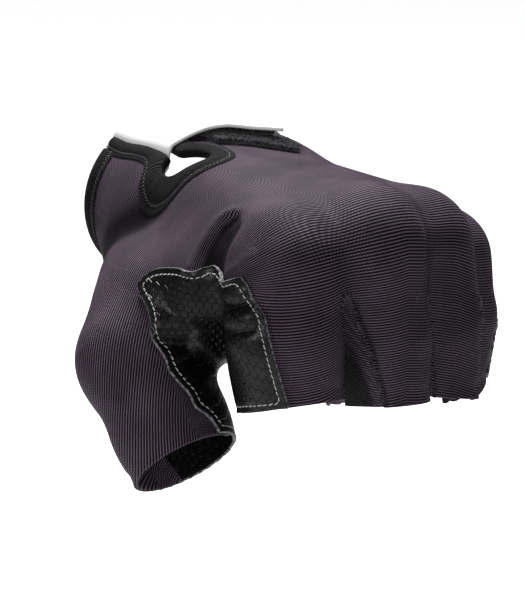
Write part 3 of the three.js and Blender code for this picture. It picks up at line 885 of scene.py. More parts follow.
def hexagons(tree, uv, width):
    """From 0 in the middle of a hexagonal cell to 0.5 at its border."""
    p = vector_node(tree, "SCALE", uv)
    p.node.inputs["Scale"].default_value = 1 / width
    step = (1.0, math.sqrt(3), 1.0)
    half = tuple(s / 2 for s in step)
    low = tuple(-h for h in half)
    a = vector_node(tree, "WRAP", p, half, low)
    b = vector_node(tree, "WRAP", vector_node(tree, "SUBTRACT", p, half), half, low)
    nearer = math_node(tree, "LESS_THAN", vector_node(tree, "LENGTH", a), vector_node(tree, "LENGTH", b))
    pick = tree.nodes.new("ShaderNodeMix")
    pick.data_type = "VECTOR"
    tree.links.new(nearer, pick.inputs["Factor"])
    tree.links.new(b, pick.inputs[4])
    tree.links.new(a, pick.inputs[5])
    size = vector_node(tree, "ABSOLUTE", pick.outputs[1])
    slanted = vector_node(tree, "DOT_PRODUCT", size, (0.5, math.sqrt(3) / 2, 0))
    parts = tree.nodes.new("ShaderNodeSeparateXYZ")
    tree.links.new(size, parts.inputs[0])
    return math_node(tree, "MAXIMUM", parts.outputs[0], slanted)


@functools.lru_cache(maxsize=None)
def leather_material():
    """Black synthetic leather embossed with small hexagons, with painted shade darkening its folds."""
    material, tree, shader = new_material("embossed_leather", roughness=0.4, specular=0.25)
    uv, _, _ = weave_uv(tree)
    cell = hexagons(tree, uv, sizes().hexagon)
    inset = sizes().topstitch_inset
    embossed = ramp(tree, attribute_node(tree, "edge_distance"), inset - 0.4, inset + 0.1)
    pillow = math_node(tree, "MULTIPLY", ramp(tree, cell, 0.38, 0.485, 1, 0), embossed)
    pillow = math_node(tree, "ADD", pillow, math_node(tree, "MULTIPLY_ADD", embossed, -1.0, 1.0))
    grain = noise_node(tree, 2600, 3)
    height = math_node(tree, "MULTIPLY_ADD", grain, 0.12, pillow)
    worn = ramp(tree, noise_node(tree, 160, 2), 0.35, 0.7, 0.7, 1.2)
    groove = mix_colour(tree, pillow, (0.0003, 0.0003, 0.0003, 1), rgba(colours().leather))
    lit = vector_node(tree, "SCALE", groove)
    tree.links.new(worn, lit.node.inputs["Scale"])
    # painted shade: the leather's colour is darkened towards black deep in its folds, where shade falls
    painted_shade = ramp(tree, attribute_node(tree, "painted_crease_shade"), 0.0, 1.0, 0.0, 0.9)
    tree.links.new(ramp(tree, grain, 0.3, 0.7, 0.3, 0.46), shader.inputs["Roughness"])
    cover(tree, shader, mix_colour(tree, painted_shade, lit, (0.0005, 0.0005, 0.0005, 1)), height, 0.26)
    return material


@functools.lru_cache(maxsize=None)
def raw_edge_material():
    """The fuzzy grey core that shows where the leather is cut."""
    material, tree, shader = new_material("raw_edge", roughness=0.9, sheen=0.2, specular=0.2)
    fibre = noise_node(tree, 1300, 4)
    colour = mix_colour(tree, ramp(tree, fibre, 0.35, 0.65), (0.02, 0.019, 0.02, 1), rgba(colours().raw_edge))
    cover(tree, shader, colour, fibre, 0.2)
    return material


@functools.lru_cache(maxsize=None)
def tape_material():
    """Elastic tape with a fine slanted rib."""
    material, tree, shader = new_material(
        "elastic_tape", roughness=0.75, sheen=0.012, sheen_tint=(0.85, 0.83, 0.88), sheen_roughness=0.5,
        specular=0.08)
    _, along, across = weave_uv(tree)
    slant = wave(tree, math_node(tree, "MULTIPLY_ADD", across, 0.8, along), 0.55)
    cross = wave(tree, math_node(tree, "MULTIPLY_ADD", across, -1.6, along), 0.55)
    height = math_node(tree, "MULTIPLY", slant, math_node(tree, "MULTIPLY_ADD", cross, 0.4, 0.6))
    cover(tree, shader, mix_colour(tree, height, BLACK, rgba(colours().tape)), height, 0.25)
    return material


@functools.lru_cache(maxsize=None)
def strap_material():
    """Smooth white strap with a faint weave under its coating."""
    material, tree, shader = new_material("white_strap", roughness=0.5, specular=0.4)
    _, along, across = weave_uv(tree)
    weave = math_node(tree, "MULTIPLY", wave(tree, along, 0.6), wave(tree, across, 0.6))
    soil = ramp(tree, noise_node(tree, 70, 4), 0.35, 0.75)
    colour = mix_colour(tree, soil, rgba(colours().strap), rgba([c * 0.93 for c in colours().strap]))
    cover(tree, shader, colour, weave, 0.04, 0.6)
    return material


@functools.lru_cache(maxsize=None)
def pile_material():
    """Black pile of hook and loop tape."""
    material, tree, shader = new_material(
        "black_pile", roughness=0.95, sheen=0.5, sheen_tint=(0.7, 0.7, 0.75), specular=0.1)
    tuft = noise_node(tree, 1700, 3)
    colour = mix_colour(tree, ramp(tree, tuft, 0.4, 0.65), (0.002, 0.002, 0.002, 1), (0.03, 0.03, 0.033, 1))
    cover(tree, shader, colour, tuft, 0.5)
    return material


@functools.lru_cache(maxsize=None)
def thread_material(dark):
    """Twisted sewing thread."""
    name = "dark_thread" if dark else "topstitch_thread"
    material, tree, shader = new_material(name, roughness=0.6, sheen=0.03 if dark else 0.2, specular=0.2)
    twist = noise_node(tree, 2200, 2)
    base = colours().dark_thread if dark else colours().thread
    colour = mix_colour(tree, ramp(tree, twist, 0.3, 0.7), rgba([c * 0.55 for c in base]), rgba(base))
    cover(tree, shader, colour, twist, 0.1)
    return material


# Coordinates on the cloth, in millimetres


def mark(obj, name, values):
    attribute = obj.data.attributes.new(name, "FLOAT", "POINT")
    attribute.data.foreach_set("value", np.asarray(values, np.float32))


def painted_crease_shade(points):
    """Painted shade: from 0 on open cloth to 1 deep in a fold or beside a slot seam, where the colour is
    darkened towards black to stand in for the shade that falls there.
    """
    deep = smoothstep(fold_depth(points), 0.1, 1.7)
    for slot in SLOTS:
        beside = 0.85 * (1 - smoothstep(seam_form(points, slot), 0.1, 1.3))
        deep = np.maximum(deep, np.where(points[:, 1] < -75, beside, 0))
    return deep


def slot_shade(points):
    """Painted shade for a slot's side wall: from 0 at the slot's lips to 1 where it is deep."""
    return smoothstep(-hand_form(points), 1.2, 3.0)


def knit_uv(points):
    """Across the ribs and along them: over the hand, round the knuckles, down the stubs and along the thumb."""
    x, y, z = points.T
    line = np.asarray(KNUCKLE_LINE, float)
    bend_y = np.interp(x, line[:, 0], line[:, 1])
    bend_z = np.interp(x, line[:, 0], line[:, 2])
    radius = KNIT_BEND["radius"]
    angle = np.clip(np.arctan2(bend_y - y, z - bend_z), 0, math.pi / 2)
    over_back = bend_y - y
    over_knuckle = radius * angle + np.where(z < bend_z, bend_z - z, 0)
    on_thumb = rods(points, THUMB, 1) < np.minimum(stub(points, FINGERS[0]), rods(points, BODY, 1))
    across = np.where((y > bend_y) | on_thumb, over_back, over_knuckle)
    turn_x, turn_y = KNIT_BEND["turn"]
    arc = line[1, 1] - turn_y - np.hypot(np.minimum(x - turn_x, 0), y - turn_y)
    seam_y = KNIT_BEND["seam"][1] - 1
    step = line[1, 1] - turn_y - np.hypot(np.minimum(x - turn_x, 0), seam_y - turn_y) - (bend_y - seam_y)
    fading = np.clip(1 - (y - seam_y) / KNIT_BEND["seam_fades"], 0, 1)
    arc = arc - step * fading * (1 - smoothstep(-x, *KNIT_BEND["step_ends"]))
    share = smoothstep(y, *KNIT_BEND["seam"]) * smoothstep(-x, *KNIT_BEND["arc"])
    share = np.where(on_thumb, 1, share)
    across = across + (arc - across) * share
    down_and_up = np.where(y > KNIT_BEND["seam"][1] - 0.6, 1, -1) * (1 - smoothstep(z, *KNIT_BEND["fold_ends"]))
    across = across + down_and_up * fold_depth(points, ("web_fold", "web_pocket"))
    pull = KNIT_BEND["side_pull"] * np.where(on_thumb, z, np.maximum(z, 0))
    sides = smoothstep(-x, *KNIT_BEND["thumb_side"]) - smoothstep(x, *KNIT_BEND["little_side"])
    return np.stack([across, x + pull * sides], 1)


def rim_runs(patch, keep):
    """The rim where keep(p) is true, as smoothed paths: places, the surface's direction, and if closed."""
    runs = []
    for loop in patch.loops():
        loop = np.array(loop)
        good = keep(patch.points[loop])
        if good.all():
            runs.append((loop, True))
            continue
        first = int(np.argmin(good))
        loop, good = np.roll(loop, -first), np.roll(good, -first)
        breaks = np.nonzero(np.diff(good.astype(int)))[0] + 1
        for part, on in zip(np.split(loop, breaks), [good[0]] + [good[b] for b in breaks]):
            if on and len(part) > 4:
                runs.append((part, False))
    whole, runs = runs, []
    for run, closed in whole:
        steps = np.linalg.norm(np.diff(patch.points[run], axis=0), axis=1)
        parts = np.split(run, np.nonzero(steps > 4 * CELL)[0] + 1)
        runs += [(part, closed and len(parts) == 1) for part in parts if len(part) > 6]
    paths = []
    for run, closed in runs:
        p, n = patch.points[run], patch.normals[run]
        for _ in range(3):
            ends = p[[0, -1]].copy()
            p = (np.roll(p, 1, 0) + 2 * p + np.roll(p, -1, 0)) / 4
            if not closed:
                p[[0, -1]] = ends
        paths.append((p, n, closed))
    return paths


# Geometry Nodes: rows of stitches along paths, and bristles on surfaces


def group_inputs(tree, rows):
    for name, kind, value in rows:
        socket = tree.interface.new_socket(name=name, in_out="INPUT", socket_type=kind)
        if value is not None:
            socket.default_value = value
    tree.interface.new_socket(name="Geometry", in_out="OUTPUT", socket_type="NodeSocketGeometry")
    return tree.nodes.new("NodeGroupInput").outputs, tree.nodes.new("NodeGroupOutput").inputs


def add_node(tree, kind, links=None, **settings):
    """A node with its settings made and its inputs linked or set, by name or by number."""
    node = tree.nodes.new(kind)
    for name, value in settings.items():
        setattr(node, name, value)
    for name, value in (links or {}).items():
        target = node.inputs[name]
        if isinstance(value, bpy.types.NodeSocket):
            tree.links.new(value, target)
        else:
            target.default_value = value
    return node


def point_at(tree, x=0.0, y=0.0, z=0.0):
    return add_node(tree, "ShaderNodeCombineXYZ", {0: x, 1: y, 2: z}).outputs[0]


def arched_strand(tree, length, radius, rise, sides):
    """A short thread that arches over its middle, along X."""
    half = math_node(tree, "MULTIPLY", length, 0.5)
    back = math_node(tree, "MULTIPLY", length, -0.5)
    low = math_node(tree, "MULTIPLY", rise, -0.5)
    curve = add_node(tree, "GeometryNodeCurveQuadraticBezier", {
        "Resolution": 4, "Start": point_at(tree, back, 0.0, low), "Middle": point_at(tree, 0.0, 0.0, rise),
        "End": point_at(tree, half, 0.0, low)})
    profile = add_node(tree, "GeometryNodeCurvePrimitiveCircle", {"Resolution": sides, "Radius": radius})
    solid = add_node(tree, "GeometryNodeCurveToMesh", {
        "Curve": curve.outputs[0], "Profile Curve": profile.outputs[0], "Fill Caps": True})
    return solid.outputs[0]


def finish_tree(tree, instances, material, output):
    real = add_node(tree, "GeometryNodeRealizeInstances", {0: instances})
    smooth = add_node(tree, "GeometryNodeSetShadeSmooth", {0: real.outputs[0]})
    painted = add_node(tree, "GeometryNodeSetMaterial", {"Geometry": smooth.outputs[0], "Material": material})
    tree.links.new(painted.outputs[0], output[0])


@functools.lru_cache(maxsize=None)
def stitch_tree():
    """One stitch at every step along a path, turned to the path and to the surface under it."""
    tree = bpy.data.node_groups.new("stitch_row", "GeometryNodeTree")
    given, output = group_inputs(tree, [
        ("Geometry", "NodeSocketGeometry", None), ("Pitch", "NodeSocketFloat", 0.0016),
        ("Stitch length", "NodeSocketFloat", 0.001), ("Thread radius", "NodeSocketFloat", 0.0002),
        ("Rise", "NodeSocketFloat", 0.0002), ("Slant", "NodeSocketFloat", 0.0),
        ("Unevenness", "NodeSocketFloat", 0.1), ("Seed", "NodeSocketInt", 7),
        ("Material", "NodeSocketMaterial", None)])
    curve = add_node(tree, "GeometryNodeMeshToCurve", {0: given["Geometry"]})
    steps = add_node(tree, "GeometryNodeResampleCurve", {"Curve": curve.outputs[0], "Length": given["Pitch"]},
                     mode="LENGTH")
    up = add_node(tree, "GeometryNodeInputNamedAttribute", {"Name": "surface_up"}, data_type="FLOAT_VECTOR")
    tangent = add_node(tree, "GeometryNodeInputTangent")
    along = add_node(tree, "FunctionNodeAlignRotationToVector", {"Vector": tangent.outputs[0]}, axis="X")
    upright = add_node(tree, "FunctionNodeAlignRotationToVector", {
        "Rotation": along.outputs[0], "Vector": up.outputs[0]}, axis="Z", pivot_axis="X")
    least = math_node(tree, "MULTIPLY", given["Unevenness"], -1.0)
    wobble = add_node(tree, "FunctionNodeRandomValue", {
        2: least, 3: given["Unevenness"], "Seed": given["Seed"]}, data_type="FLOAT")
    turn = add_node(tree, "FunctionNodeAxisAngleToRotation", {
        "Axis": (0, 0, 1), "Angle": math_node(tree, "ADD", given["Slant"], wobble.outputs[1])})
    turned = add_node(tree, "FunctionNodeRotateRotation", {
        0: upright.outputs[0], 1: turn.outputs[0]}, rotation_space="LOCAL")
    stitch = arched_strand(tree, given["Stitch length"], given["Thread radius"], given["Rise"], 6)
    placed = add_node(tree, "GeometryNodeInstanceOnPoints", {
        "Points": steps.outputs[0], "Instance": stitch, "Rotation": turned.outputs[0]})
    finish_tree(tree, placed.outputs[0], given["Material"], output)
    return tree


@functools.lru_cache(maxsize=None)
def bristle_tree():
    """Thin strands that stand on a surface, leaning each its own way."""
    tree = bpy.data.node_groups.new("bristles", "GeometryNodeTree")
    given, output = group_inputs(tree, [
        ("Geometry", "NodeSocketGeometry", None), ("Per square metre", "NodeSocketFloat", 2e6),
        ("Strand length", "NodeSocketFloat", 0.0015), ("Strand radius", "NodeSocketFloat", 0.00006),
        ("Lean", "NodeSocketFloat", 0.9), ("Seed", "NodeSocketInt", 11),
        ("Material", "NodeSocketMaterial", None)])
    spread = add_node(tree, "GeometryNodeDistributePointsOnFaces", {
        "Mesh": given["Geometry"], "Density": given["Per square metre"], "Seed": given["Seed"]})
    back = math_node(tree, "MULTIPLY", given["Lean"], -1.0)
    low, high = (point_at(tree, lean, lean, lean) for lean in (back, given["Lean"]))
    stray = add_node(tree, "FunctionNodeRandomValue", {0: low, 1: high, "Seed": given["Seed"]},
                     data_type="FLOAT_VECTOR")
    way = vector_node(tree, "ADD", spread.outputs["Normal"], stray.outputs[0])
    turned = add_node(tree, "FunctionNodeAlignRotationToVector", {"Vector": way}, axis="X")
    strand = arched_strand(tree, given["Strand length"], given["Strand radius"],
                           math_node(tree, "MULTIPLY", given["Strand length"], 0.25), 3)
    placed = add_node(tree, "GeometryNodeInstanceOnPoints", {
        "Points": spread.outputs["Points"], "Instance": strand, "Rotation": turned.outputs[0]})
    finish_tree(tree, placed.outputs[0], given["Material"], output)
    return tree


def grow(obj, tree, values):
    """Runs a tree on an object and leaves the result as its plain mesh."""
    modifier = obj.modifiers.new("grow", "NODES")
    modifier.node_group = tree
    for item in tree.interface.items_tree:
        if item.in_out == "INPUT" and item.name in values:
            modifier[item.identifier] = values[item.name]
    graph = bpy.context.evaluated_depsgraph_get()
    mesh = bpy.data.meshes.new_from_object(obj.evaluated_get(graph))
    obj.modifiers.remove(modifier)
    obj.data = mesh
    return obj


def stitches(name, paths, material, pitch=1.6, length=1.0, radius=0.17, rise=0.18, slant=0.0, unevenness=0.12,
             lift=0.0):
    """Rows of stitches along paths on the surface. Lengths in millimetres, angles in radians."""
    points, ups, edges = [], [], []
    count = 0
    for p, n, closed in paths:
        points.append(p + n * lift)
        ups.append(n)
        number = np.arange(len(p)) + count
        pairs = np.stack([number, np.roll(number, -1)], 1)
        edges.append(pairs if closed else pairs[:-1])
        count += len(p)
    mesh = bpy.data.meshes.new(name)
    points, edges = np.concatenate(points), np.concatenate(edges)
    mesh.from_pydata((points * MM).tolist(), edges.tolist(), [])
    up = mesh.attributes.new("surface_up", "FLOAT_VECTOR", "POINT")
    up.data.foreach_set("vector", np.concatenate(ups).ravel())
    obj = bpy.data.objects.new(name, mesh)
    bpy.context.scene.collection.objects.link(obj)
    return grow(obj, stitch_tree(), {
        "Pitch": pitch * MM, "Stitch length": length * MM, "Thread radius": radius * MM, "Rise": rise * MM,
        "Slant": slant, "Unevenness": unevenness, "Material": material})


def bristles(name, points, triangles, material, per_mm2, length, radius, lean, seed=11):
    """Strands standing on some triangles. Lengths in millimetres."""
    obj = mesh_object(name, points, triangles)
    return grow(obj, bristle_tree(), {
        "Per square metre": per_mm2 * 1e6, "Strand length": length * MM, "Strand radius": radius * MM,
        "Lean": lean, "Seed": seed, "Material": material})


def knit_shell():
    """The knit: everything but the side walls, the tape and what lies deep under the leather."""
    s = sizes()
    patch = glove_surface()
    patch = patch.clipped(lambda p: -p[:, 1] - s.cuff_tape - GAP)
    patch = patch.clipped(lambda p: notch_tape_form(p) - GAP)
    patch = patch.clipped(lambda p: leather_form(p) + KNIT["under_leather"])
    for slot in SLOTS:
        patch = patch.clipped(lambda p, slot=slot: seam_form(p, slot) - GAP)
    to_end = np.maximum(end_form(patch.points), 0)
    flare = KNIT["flare"] * np.exp(-to_end / KNIT["flare_fades"])
    flare = flare - KNIT["dip"] * np.exp(-((to_end - KNIT["dip_at"]) / KNIT["dip_half"]) ** 2)
    points, faces, _, source = wall(patch, flare, flare - s.knit_wall)
    obj = mesh_object("knit_cloth", points, faces, knit_uv(points), [knit_material()])
    # painted shade: darkens the knit in its folds and beside the slot seams
    mark(obj, "painted_crease_shade", painted_crease_shade(patch.points)[source])
    dress(obj, "knit", "knit_shell")
    hems = rim_runs(patch, lambda p: (end_form(p) < 0.3) & (leather_form(p) > 0.5))
    obj = stitches("frayed_hems", hems, thread_material(True), pitch=0.5, length=0.9, radius=0.09, rise=0.25,
                   slant=1.2, unevenness=1.1, lift=0.15)
    dress(obj, "knit")


def side_walls():
    """The folded knit strips between the stubs, and the overlocked seams along them."""
    s = sizes()
    seams = []
    for slot in SLOTS:
        patch = glove_surface().clipped(lambda p, slot=slot: -seam_form(p, slot))
        patch = patch.clipped(lambda p: leather_form(p) + KNIT["side_wall_under"])
        points, faces, _, source = wall(patch, 0.0, -s.knit_wall)
        name = slot["node"].replace("fourchette", "side_wall")
        obj = mesh_object(name, points, faces, knit_uv(points), [knit_material()])
        # painted shade: the side wall's colour is darkened where the slot is deep
        mark(obj, "painted_crease_shade", slot_shade(patch.points)[source])
        dress(obj, "knit", slot["node"])
        seams += rim_runs(
            patch, lambda p, slot=slot: (np.abs(seam_form(p, slot)) < 0.3) & (leather_form(p) > 0.5))
    obj = stitches("slot_seams", seams, thread_material(True), pitch=0.8, length=1.7, radius=0.2, rise=0.6,
                   slant=1.25, unevenness=0.35, lift=0.1)
    dress(obj, "knit")


def leather_uv(points, normals, triangles):
    """Coordinates by corner: round the index stub, flat on the thumb's inner face, or flat over the palm."""
    corners, facing = points[triangles], unit(normals[triangles].mean(1))
    centre = corners.mean(1)
    x, y, z = corners[:, :, 0], corners[:, :, 1], corners[:, :, 2]
    way_x, way_y = LEATHER_MAP["thumb_way"]
    uv = np.stack([way_x * x + way_y * y, z], -1)
    palm = (facing[:, 2] < LEATHER_MAP["palm_faces"]) & (centre[:, 0] > LEATHER_MAP["palm_from_x"])
    uv[palm] = np.stack([x, y], -1)[palm]
    on_stub = stub(centre, FINGERS[0]) < rods(centre, THUMB, 1)
    index = (centre[:, 1] < LEATHER_MAP["index_from_y"]) & on_stub
    dx, dy = x - LEATHER_MAP["stub_middle"][0], y - LEATHER_MAP["stub_middle"][1]
    way = np.arctan2(dy, -dx)
    round_stub = np.stack([way * LEATHER_MAP["stub_radius"], z - LEATHER_MAP["stub_slope"] * dy], -1)
    uv[index & ~palm] = round_stub[index & ~palm]
    return uv.reshape(-1, 2)


def palm_leather():
    """The embossed leather panel on the inside of the fist, with its white topstitch."""
    s = sizes()
    patch = glove_surface().clipped(lambda p: -leather_form(p))
    for slot in SLOTS:
        patch = patch.clipped(lambda p, slot=slot: slot_form(p, slot) - LEATHER["off_slot"])
    lift = LEATHER["lift"]
    from_rim = rim_distance(patch)
    inset = from_rim(patch.points)
    pucker = LEATHER["pucker"] * np.exp(-((inset - s.topstitch_inset) / LEATHER["pucker_half"]) ** 2)
    pinch = LEATHER["pinch"] * np.sin(patch.points @ np.array(LEATHER["pinch_turns"]))
    pinch = pinch * np.exp(-np.maximum(inset, 0) / LEATHER["pinch_fades"])
    top = lift + s.leather_wall - pucker + pinch
    points, faces, slots, source = wall(patch, top, lift, 0.5)
    uv = leather_uv(points, patch.normals[source], faces)
    obj = mesh_object("leather_panel", points, faces, uv, [leather_material(), raw_edge_material()], slots)
    mark(obj, "edge_distance", np.minimum(inset, LEATHER["widest_inset"])[source])
    # painted shade: darkens the leather deep in its folds
    mark(obj, "painted_crease_shade", painted_crease_shade(patch.points)[source])
    dress(obj, "leather", "palm_leather")
    sewn = patch.clipped(lambda p: from_rim(p) - s.topstitch_inset)
    rows = rim_runs(sewn, lambda p: p[:, 1] < 0)
    obj = stitches("topstitch", rows, thread_material(False), pitch=s.stitch_pitch, length=s.stitch_pitch * 0.7,
                   radius=0.15, rise=0.26, slant=0.12, unevenness=0.16,
                   lift=lift + s.leather_wall - LEATHER["stitch_sinks"])
    dress(obj, "leather")


def tape_wall(patch, across, width):
    """Tape that wraps the cloth's edge: a soft roll, a sewn line near its outer edge, and a flat lip."""
    from_roll = (across - width * TAPE["roll_at"]) / (width * TAPE["roll_half"])
    roll = TAPE["roll"] * np.sqrt(np.clip(1 - from_roll ** 2, 0, 1))
    sewn = TAPE["sewn"] * np.exp(-((across - width * TAPE["sewn_at"]) / TAPE["sewn_half"]) ** 2)
    points, faces, _, _ = wall(patch, TAPE["lip"] + roll - sewn, -sizes().knit_wall - TAPE["under_knit"], 0.55)
    return points, faces


def sewn_line_cuff(p):
    return p[:, 1] + sizes().cuff_tape * TAPE["sewn_at"]


def sewn_line_key(p):
    inner, outer = notch_form(p), notch_tape_form(p)
    return TAPE["sewn_at"] * (inner - outer) - inner


def bindings():
    """The tape round the cuff, the wider tape round the slit and its keyhole, and their stitches."""
    s = sizes()
    cuff = glove_surface().clipped(lambda p: p[:, 1] + s.cuff_tape)
    cuff = cuff.clipped(lambda p: notch_tape_form(p) - GAP)
    points, faces = tape_wall(cuff, -cuff.points[:, 1], s.cuff_tape)
    uv = np.stack([np.arctan2(points[:, 0], points[:, 2]) * WRIST_RADIUS, points[:, 1]], 1)
    dress(mesh_object("cuff_tape", points, faces, uv, [tape_material()]), "binding", "cuff_binding")

    key = glove_surface().clipped(notch_form).clipped(lambda p: -notch_tape_form(p))
    across = notch_form(key.points)
    points, faces = tape_wall(key, across, across - notch_tape_form(key.points))
    x, y = points[:, 0] - NOTCH["key"][0], points[:, 1] - NOTCH["key"][1]
    run = np.where(y > TAPE["straight_from"], y * np.sign(x), np.arctan2(x, -y) * TAPE["key_radius"])
    uv = np.stack([run, notch_form(points)], 1)
    dress(mesh_object("keyhole_tape", points, faces, uv, [tape_material()]), "binding", "keyhole_binding")

    rows = []
    for patch, line in ((cuff, sewn_line_cuff), (key, sewn_line_key)):
        rows += rim_runs(patch.clipped(line), lambda p, line=line: np.abs(line(p)) < 0.2)
    obj = stitches("tape_stitches", rows, thread_material(True), pitch=1.1, length=1.15, radius=0.2, rise=0.35,
                   slant=0.6, unevenness=0.25, lift=0.35)
    dress(obj, "binding")


def wrist_point(degrees, y, level):
    """The place over the wrist at one angle, at a distance from the cloth's face."""
    a = np.radians(degrees)
    way = np.stack([np.sin(a), np.zeros_like(a), np.cos(a)], -1)
    near, far = np.full(a.shape, 5.0), np.full(a.shape, 60.0)
    for _ in range(26):
        middle = (near + far) / 2
        p = way * middle[..., None]
        p[..., 1] = y
        short = hand_form(p.reshape(-1, 3)).reshape(a.shape) < level
        near, far = np.where(short, middle, near), np.where(short, far, middle)
    p = way * near[..., None]
    p[..., 1] = y
    return p


def wrist_strip(from_deg, to_deg, near_y, far_y, level, thickness, columns=120, rows=40):
    """A strip over the wrist's back, lower face at level(angle). to_deg: where its near and far edges end."""
    runs, shares = np.linspace(0, 1, columns + 1), np.linspace(0, 1, rows + 1)
    grid_run, grid_share = np.meshgrid(runs, shares, indexing="ij")
    grid_deg = from_deg + (to_deg[0] + (to_deg[1] - to_deg[0]) * grid_share - from_deg) * grid_run
    grid_y = near_y(grid_deg) + (far_y(grid_deg) - near_y(grid_deg)) * grid_share
    points = wrist_point(grid_deg, grid_y, level(grid_deg))
    du = np.gradient(points, axis=0)
    dv = np.gradient(points, axis=1)
    normals = unit(np.cross(dv, du))
    number = np.arange(points.shape[0] * points.shape[1]).reshape(points.shape[:2])
    a, b, c, d = number[:-1, :-1], number[:-1, 1:], number[1:, 1:], number[1:, :-1]
    triangles = np.concatenate([
        np.stack([a, b, c], -1).reshape(-1, 3),
        np.stack([a, c, d], -1).reshape(-1, 3),
    ])
    patch = Patch(points.reshape(-1, 3), normals.reshape(-1, 3), triangles)
    run = np.stack([np.radians(grid_deg) * WRIST_RADIUS, grid_y], -1).reshape(-1, 2)
    points, faces, _, source = wall(patch, thickness, 0.0)
    return points, faces, run[source]


def end_lift(deg):
    return STRAP["end_lifts"] * smoothstep(deg, *END_LIFTS_OVER)


def hook_level(deg):
    """Where the hook tape's lower face lies: on the loop pile, lifted at its end."""
    return 2 * PADS["gap"] + PADS["loop"] + end_lift(deg)


def strap_level(deg):
    """The strap's lower face: under the knit at its start, then over the tape, then on the hook tape."""
    s = sizes()
    under = -s.knit_wall - STRAP["under_knit"] - s.strap_wall
    pad_top = 3 * PADS["gap"] + PADS["loop"] + PADS["hook"]
    low = under + (STRAP["over_tape"] - under) * smoothstep(deg, STRAP["rise_from"], STRAP["rise_to"])
    low = low + (pad_top - low) * smoothstep(deg, STRAP["rise_to"], STRAP["pad_from"])
    return low + end_lift(deg)


def edge_of(rows, shift=0.0):
    """One edge of a strip: its place along Y by angle."""
    return lambda deg: np.interp(deg, *zip(*rows)) + shift


def strap():
    """The strap, the hook tape under its free end, and the loop tape with its pile on the cuff."""
    near, far = edge_of(STRAP["near_edge"]), edge_of(STRAP["far_edge"])
    points, faces, uv = wrist_strip(STRAP["start"], STRAP["end"], near, far, strap_level, sizes().strap_wall)
    dress(mesh_object("strap", points, faces, uv, [strap_material()]), "strap", "wrist_strap")
    points, faces, uv = wrist_strip(
        PADS["hook_from"], [d - PADS["hook_short"] for d in STRAP["end"]],
        edge_of(STRAP["near_edge"], -PADS["hook_inset"]), edge_of(STRAP["far_edge"], PADS["hook_inset"]),
        hook_level, PADS["hook"])
    dress(mesh_object("hook_tape", points, faces, uv, [pile_material()]), "hook_tape", "hook_pad")
    points, faces, uv = wrist_strip(
        PADS["loop_from"], [d + PADS["loop_past"] for d in STRAP["end"]],
        edge_of(STRAP["near_edge"], -PADS["loop_inset"]), edge_of(PADS["loop_edge"]),
        lambda deg: np.full(deg.shape, PADS["gap"]), PADS["loop"])
    dress(mesh_object("loop_tape", points, faces, uv, [pile_material()]), "hook_tape", "loop_pad")
    middle = points[faces].mean(1)
    shown = middle[:, 1] < far(np.degrees(np.arctan2(middle[:, 0], middle[:, 2]))) + PADS["pile_under"]
    obj = bristles("loop_pile", points, faces[shown], pile_material(), per_mm2=7, length=1.7, radius=0.05,
                   lean=0.9)
    dress(obj, "hook_tape")


# Stage


def stage():
    """A plain pale floor, soft studio light and the camera."""
    floor_material, tree, shader = new_material("pale_floor", roughness=0.9, specular=0.1)
    shader.inputs["Base Color"].default_value = (0.8, 0.8, 0.8, 1)
    shader.inputs["Emission Color"].default_value = (1, 1, 1, 1)
    seen = tree.nodes.new("ShaderNodeLightPath").outputs["Is Camera Ray"]
    tree.links.new(ramp(tree, seen, 0, 1, *FLOOR["glow"]), shader.inputs["Emission Strength"])
    bpy.ops.mesh.primitive_circle_add(vertices=96, radius=FLOOR["radius"], fill_type="NGON", location=(0, 0, 0))
    floor = bpy.context.object
    floor.name = "floor"
    floor.data.transform(Matrix.Translation((0, 0, CAD_BOX[0][2] - FLOOR["drop"])))
    floor.data.materials.append(floor_material)

    world = bpy.data.worlds.new("studio")
    world.use_nodes = True
    tree = world.node_tree
    seen = tree.nodes.new("ShaderNodeLightPath").outputs["Is Camera Ray"]
    tree.links.new(ramp(tree, seen, 0, 1, *STUDIO_GLOW), tree.nodes["Background"].inputs["Strength"])
    tree.nodes["Background"].inputs["Color"].default_value = (1, 1, 1, 1)
    bpy.context.scene.world = world
    bpy.context.scene.view_settings.view_transform = "Standard"

    middle = Vector(CAMERA["target"]) * MM
    for row in LIGHTS:
        light = bpy.data.lights.new(row["name"], "AREA")
        light.size = row["size"]
        light.energy = row["power"]
        obj = bpy.data.objects.new(row["name"], light)
        place = Vector(row["place"])
        obj.location = middle + place
        obj.rotation_euler = (-place).to_track_quat("-Z", "Y").to_euler()
        bpy.context.scene.collection.objects.link(obj)
    camera()


def camera():
    """The photograph's camera, from its angles, its distance and its focal length in pixels."""
    width, height = CAMERA["image"]
    data = bpy.data.cameras.new("photo_camera")
    data.sensor_fit = "AUTO"
    data.sensor_width = 36
    data.lens = CAMERA["focal_px"] / max(width, height) * data.sensor_width
    data.clip_start = 0.01
    a, e = math.radians(CAMERA["azimuth"]), math.radians(CAMERA["elevation"])
    back = Vector((math.sin(a) * math.cos(e), -math.cos(a) * math.cos(e), math.sin(e)))
    target = Vector(CAMERA["target"]) * MM
    turn = back.to_track_quat("Z", "Y").to_matrix() @ Matrix.Rotation(math.radians(CAMERA["roll"]), 3, "Z")
    px = CAMERA["target_px"]
    data.shift_x = -(px[0] - width / 2) / max(width, height)
    data.shift_y = (px[1] - height / 2) / max(width, height)
    obj = bpy.data.objects.new("photo_camera", data)
    obj.matrix_world = Matrix.Translation(target + back * CAMERA["distance"] * MM) @ turn.to_4x4()
    bpy.context.scene.collection.objects.link(obj)
    bpy.context.scene.camera = obj


# Operators


class GLOVE_OT_knit_shell(bpy.types.Operator):
    """Knit the back, the thumb and the fronts of the stubs"""

    bl_idname = "glove.knit_shell"
    bl_label = "Knit shell"

    def execute(self, context):
        knit_shell()
        return {"FINISHED"}


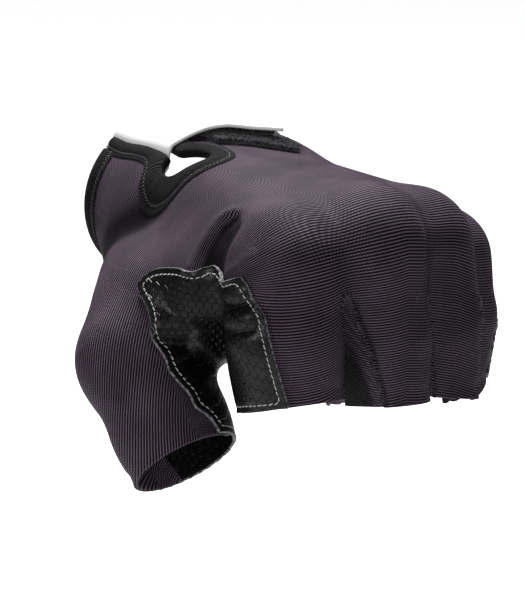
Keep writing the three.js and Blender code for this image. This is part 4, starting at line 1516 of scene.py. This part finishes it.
class GLOVE_OT_side_walls(bpy.types.Operator):
    """Fold the knit strips between the stubs"""

    bl_idname = "glove.side_walls"
    bl_label = "Side walls"

    def execute(self, context):
        side_walls()
        return {"FINISHED"}


class GLOVE_OT_palm_leather(bpy.types.Operator):
    """Lay the embossed leather on the inside of the fist"""

    bl_idname = "glove.palm_leather"
    bl_label = "Palm leather"

    def execute(self, context):
        palm_leather()
        return {"FINISHED"}


class GLOVE_OT_bindings(bpy.types.Operator):
    """Bind the cuff and the keyhole with tape"""

    bl_idname = "glove.bindings"
    bl_label = "Bindings"

    def execute(self, context):
        bindings()
        return {"FINISHED"}


class GLOVE_OT_strap(bpy.types.Operator):
    """Lay the strap over its hook and loop tape"""

    bl_idname = "glove.strap"
    bl_label = "Strap"

    def execute(self, context):
        strap()
        return {"FINISHED"}


class GLOVE_OT_stage(bpy.types.Operator):
    """Add the floor, the light and the camera"""

    bl_idname = "glove.stage"
    bl_label = "Stage"

    def execute(self, context):
        stage()
        return {"FINISHED"}


OPERATORS = (
    GLOVE_OT_knit_shell,
    GLOVE_OT_side_walls,
    GLOVE_OT_palm_leather,
    GLOVE_OT_bindings,
    GLOVE_OT_strap,
    GLOVE_OT_stage,
)


class GLOVE_PT_panel(bpy.types.Panel):
    """Lists the pieces and the sizes that can be changed"""

    bl_idname = "GLOVE_PT_panel"
    bl_label = "Glove"
    bl_space_type = "VIEW_3D"
    bl_region_type = "UI"
    bl_category = "Glove"

    def draw(self, context):
        layout = self.layout
        for group in (context.scene.glove_sizes, context.scene.glove_colours):
            for name in type(group).__annotations__:
                layout.prop(group, name)
        for operator_class in OPERATORS:
            layout.operator(operator_class.bl_idname)


CLASSES = (GloveSizes, GloveColours, *OPERATORS, GLOVE_PT_panel)


def register():
    for cls in CLASSES:
        bpy.utils.register_class(cls)
    bpy.types.Scene.glove_sizes = PointerProperty(type=GloveSizes)
    bpy.types.Scene.glove_colours = PointerProperty(type=GloveColours)


def unregister():
    del bpy.types.Scene.glove_colours
    del bpy.types.Scene.glove_sizes
    for cls in reversed(CLASSES):
        bpy.utils.unregister_class(cls)


def main():
    register()
    bpy.ops.glove.knit_shell()
    bpy.ops.glove.side_walls()
    bpy.ops.glove.palm_leather()
    bpy.ops.glove.bindings()
    bpy.ops.glove.strap()
    bpy.ops.glove.stage()


if __name__ == "__main__":
    main()
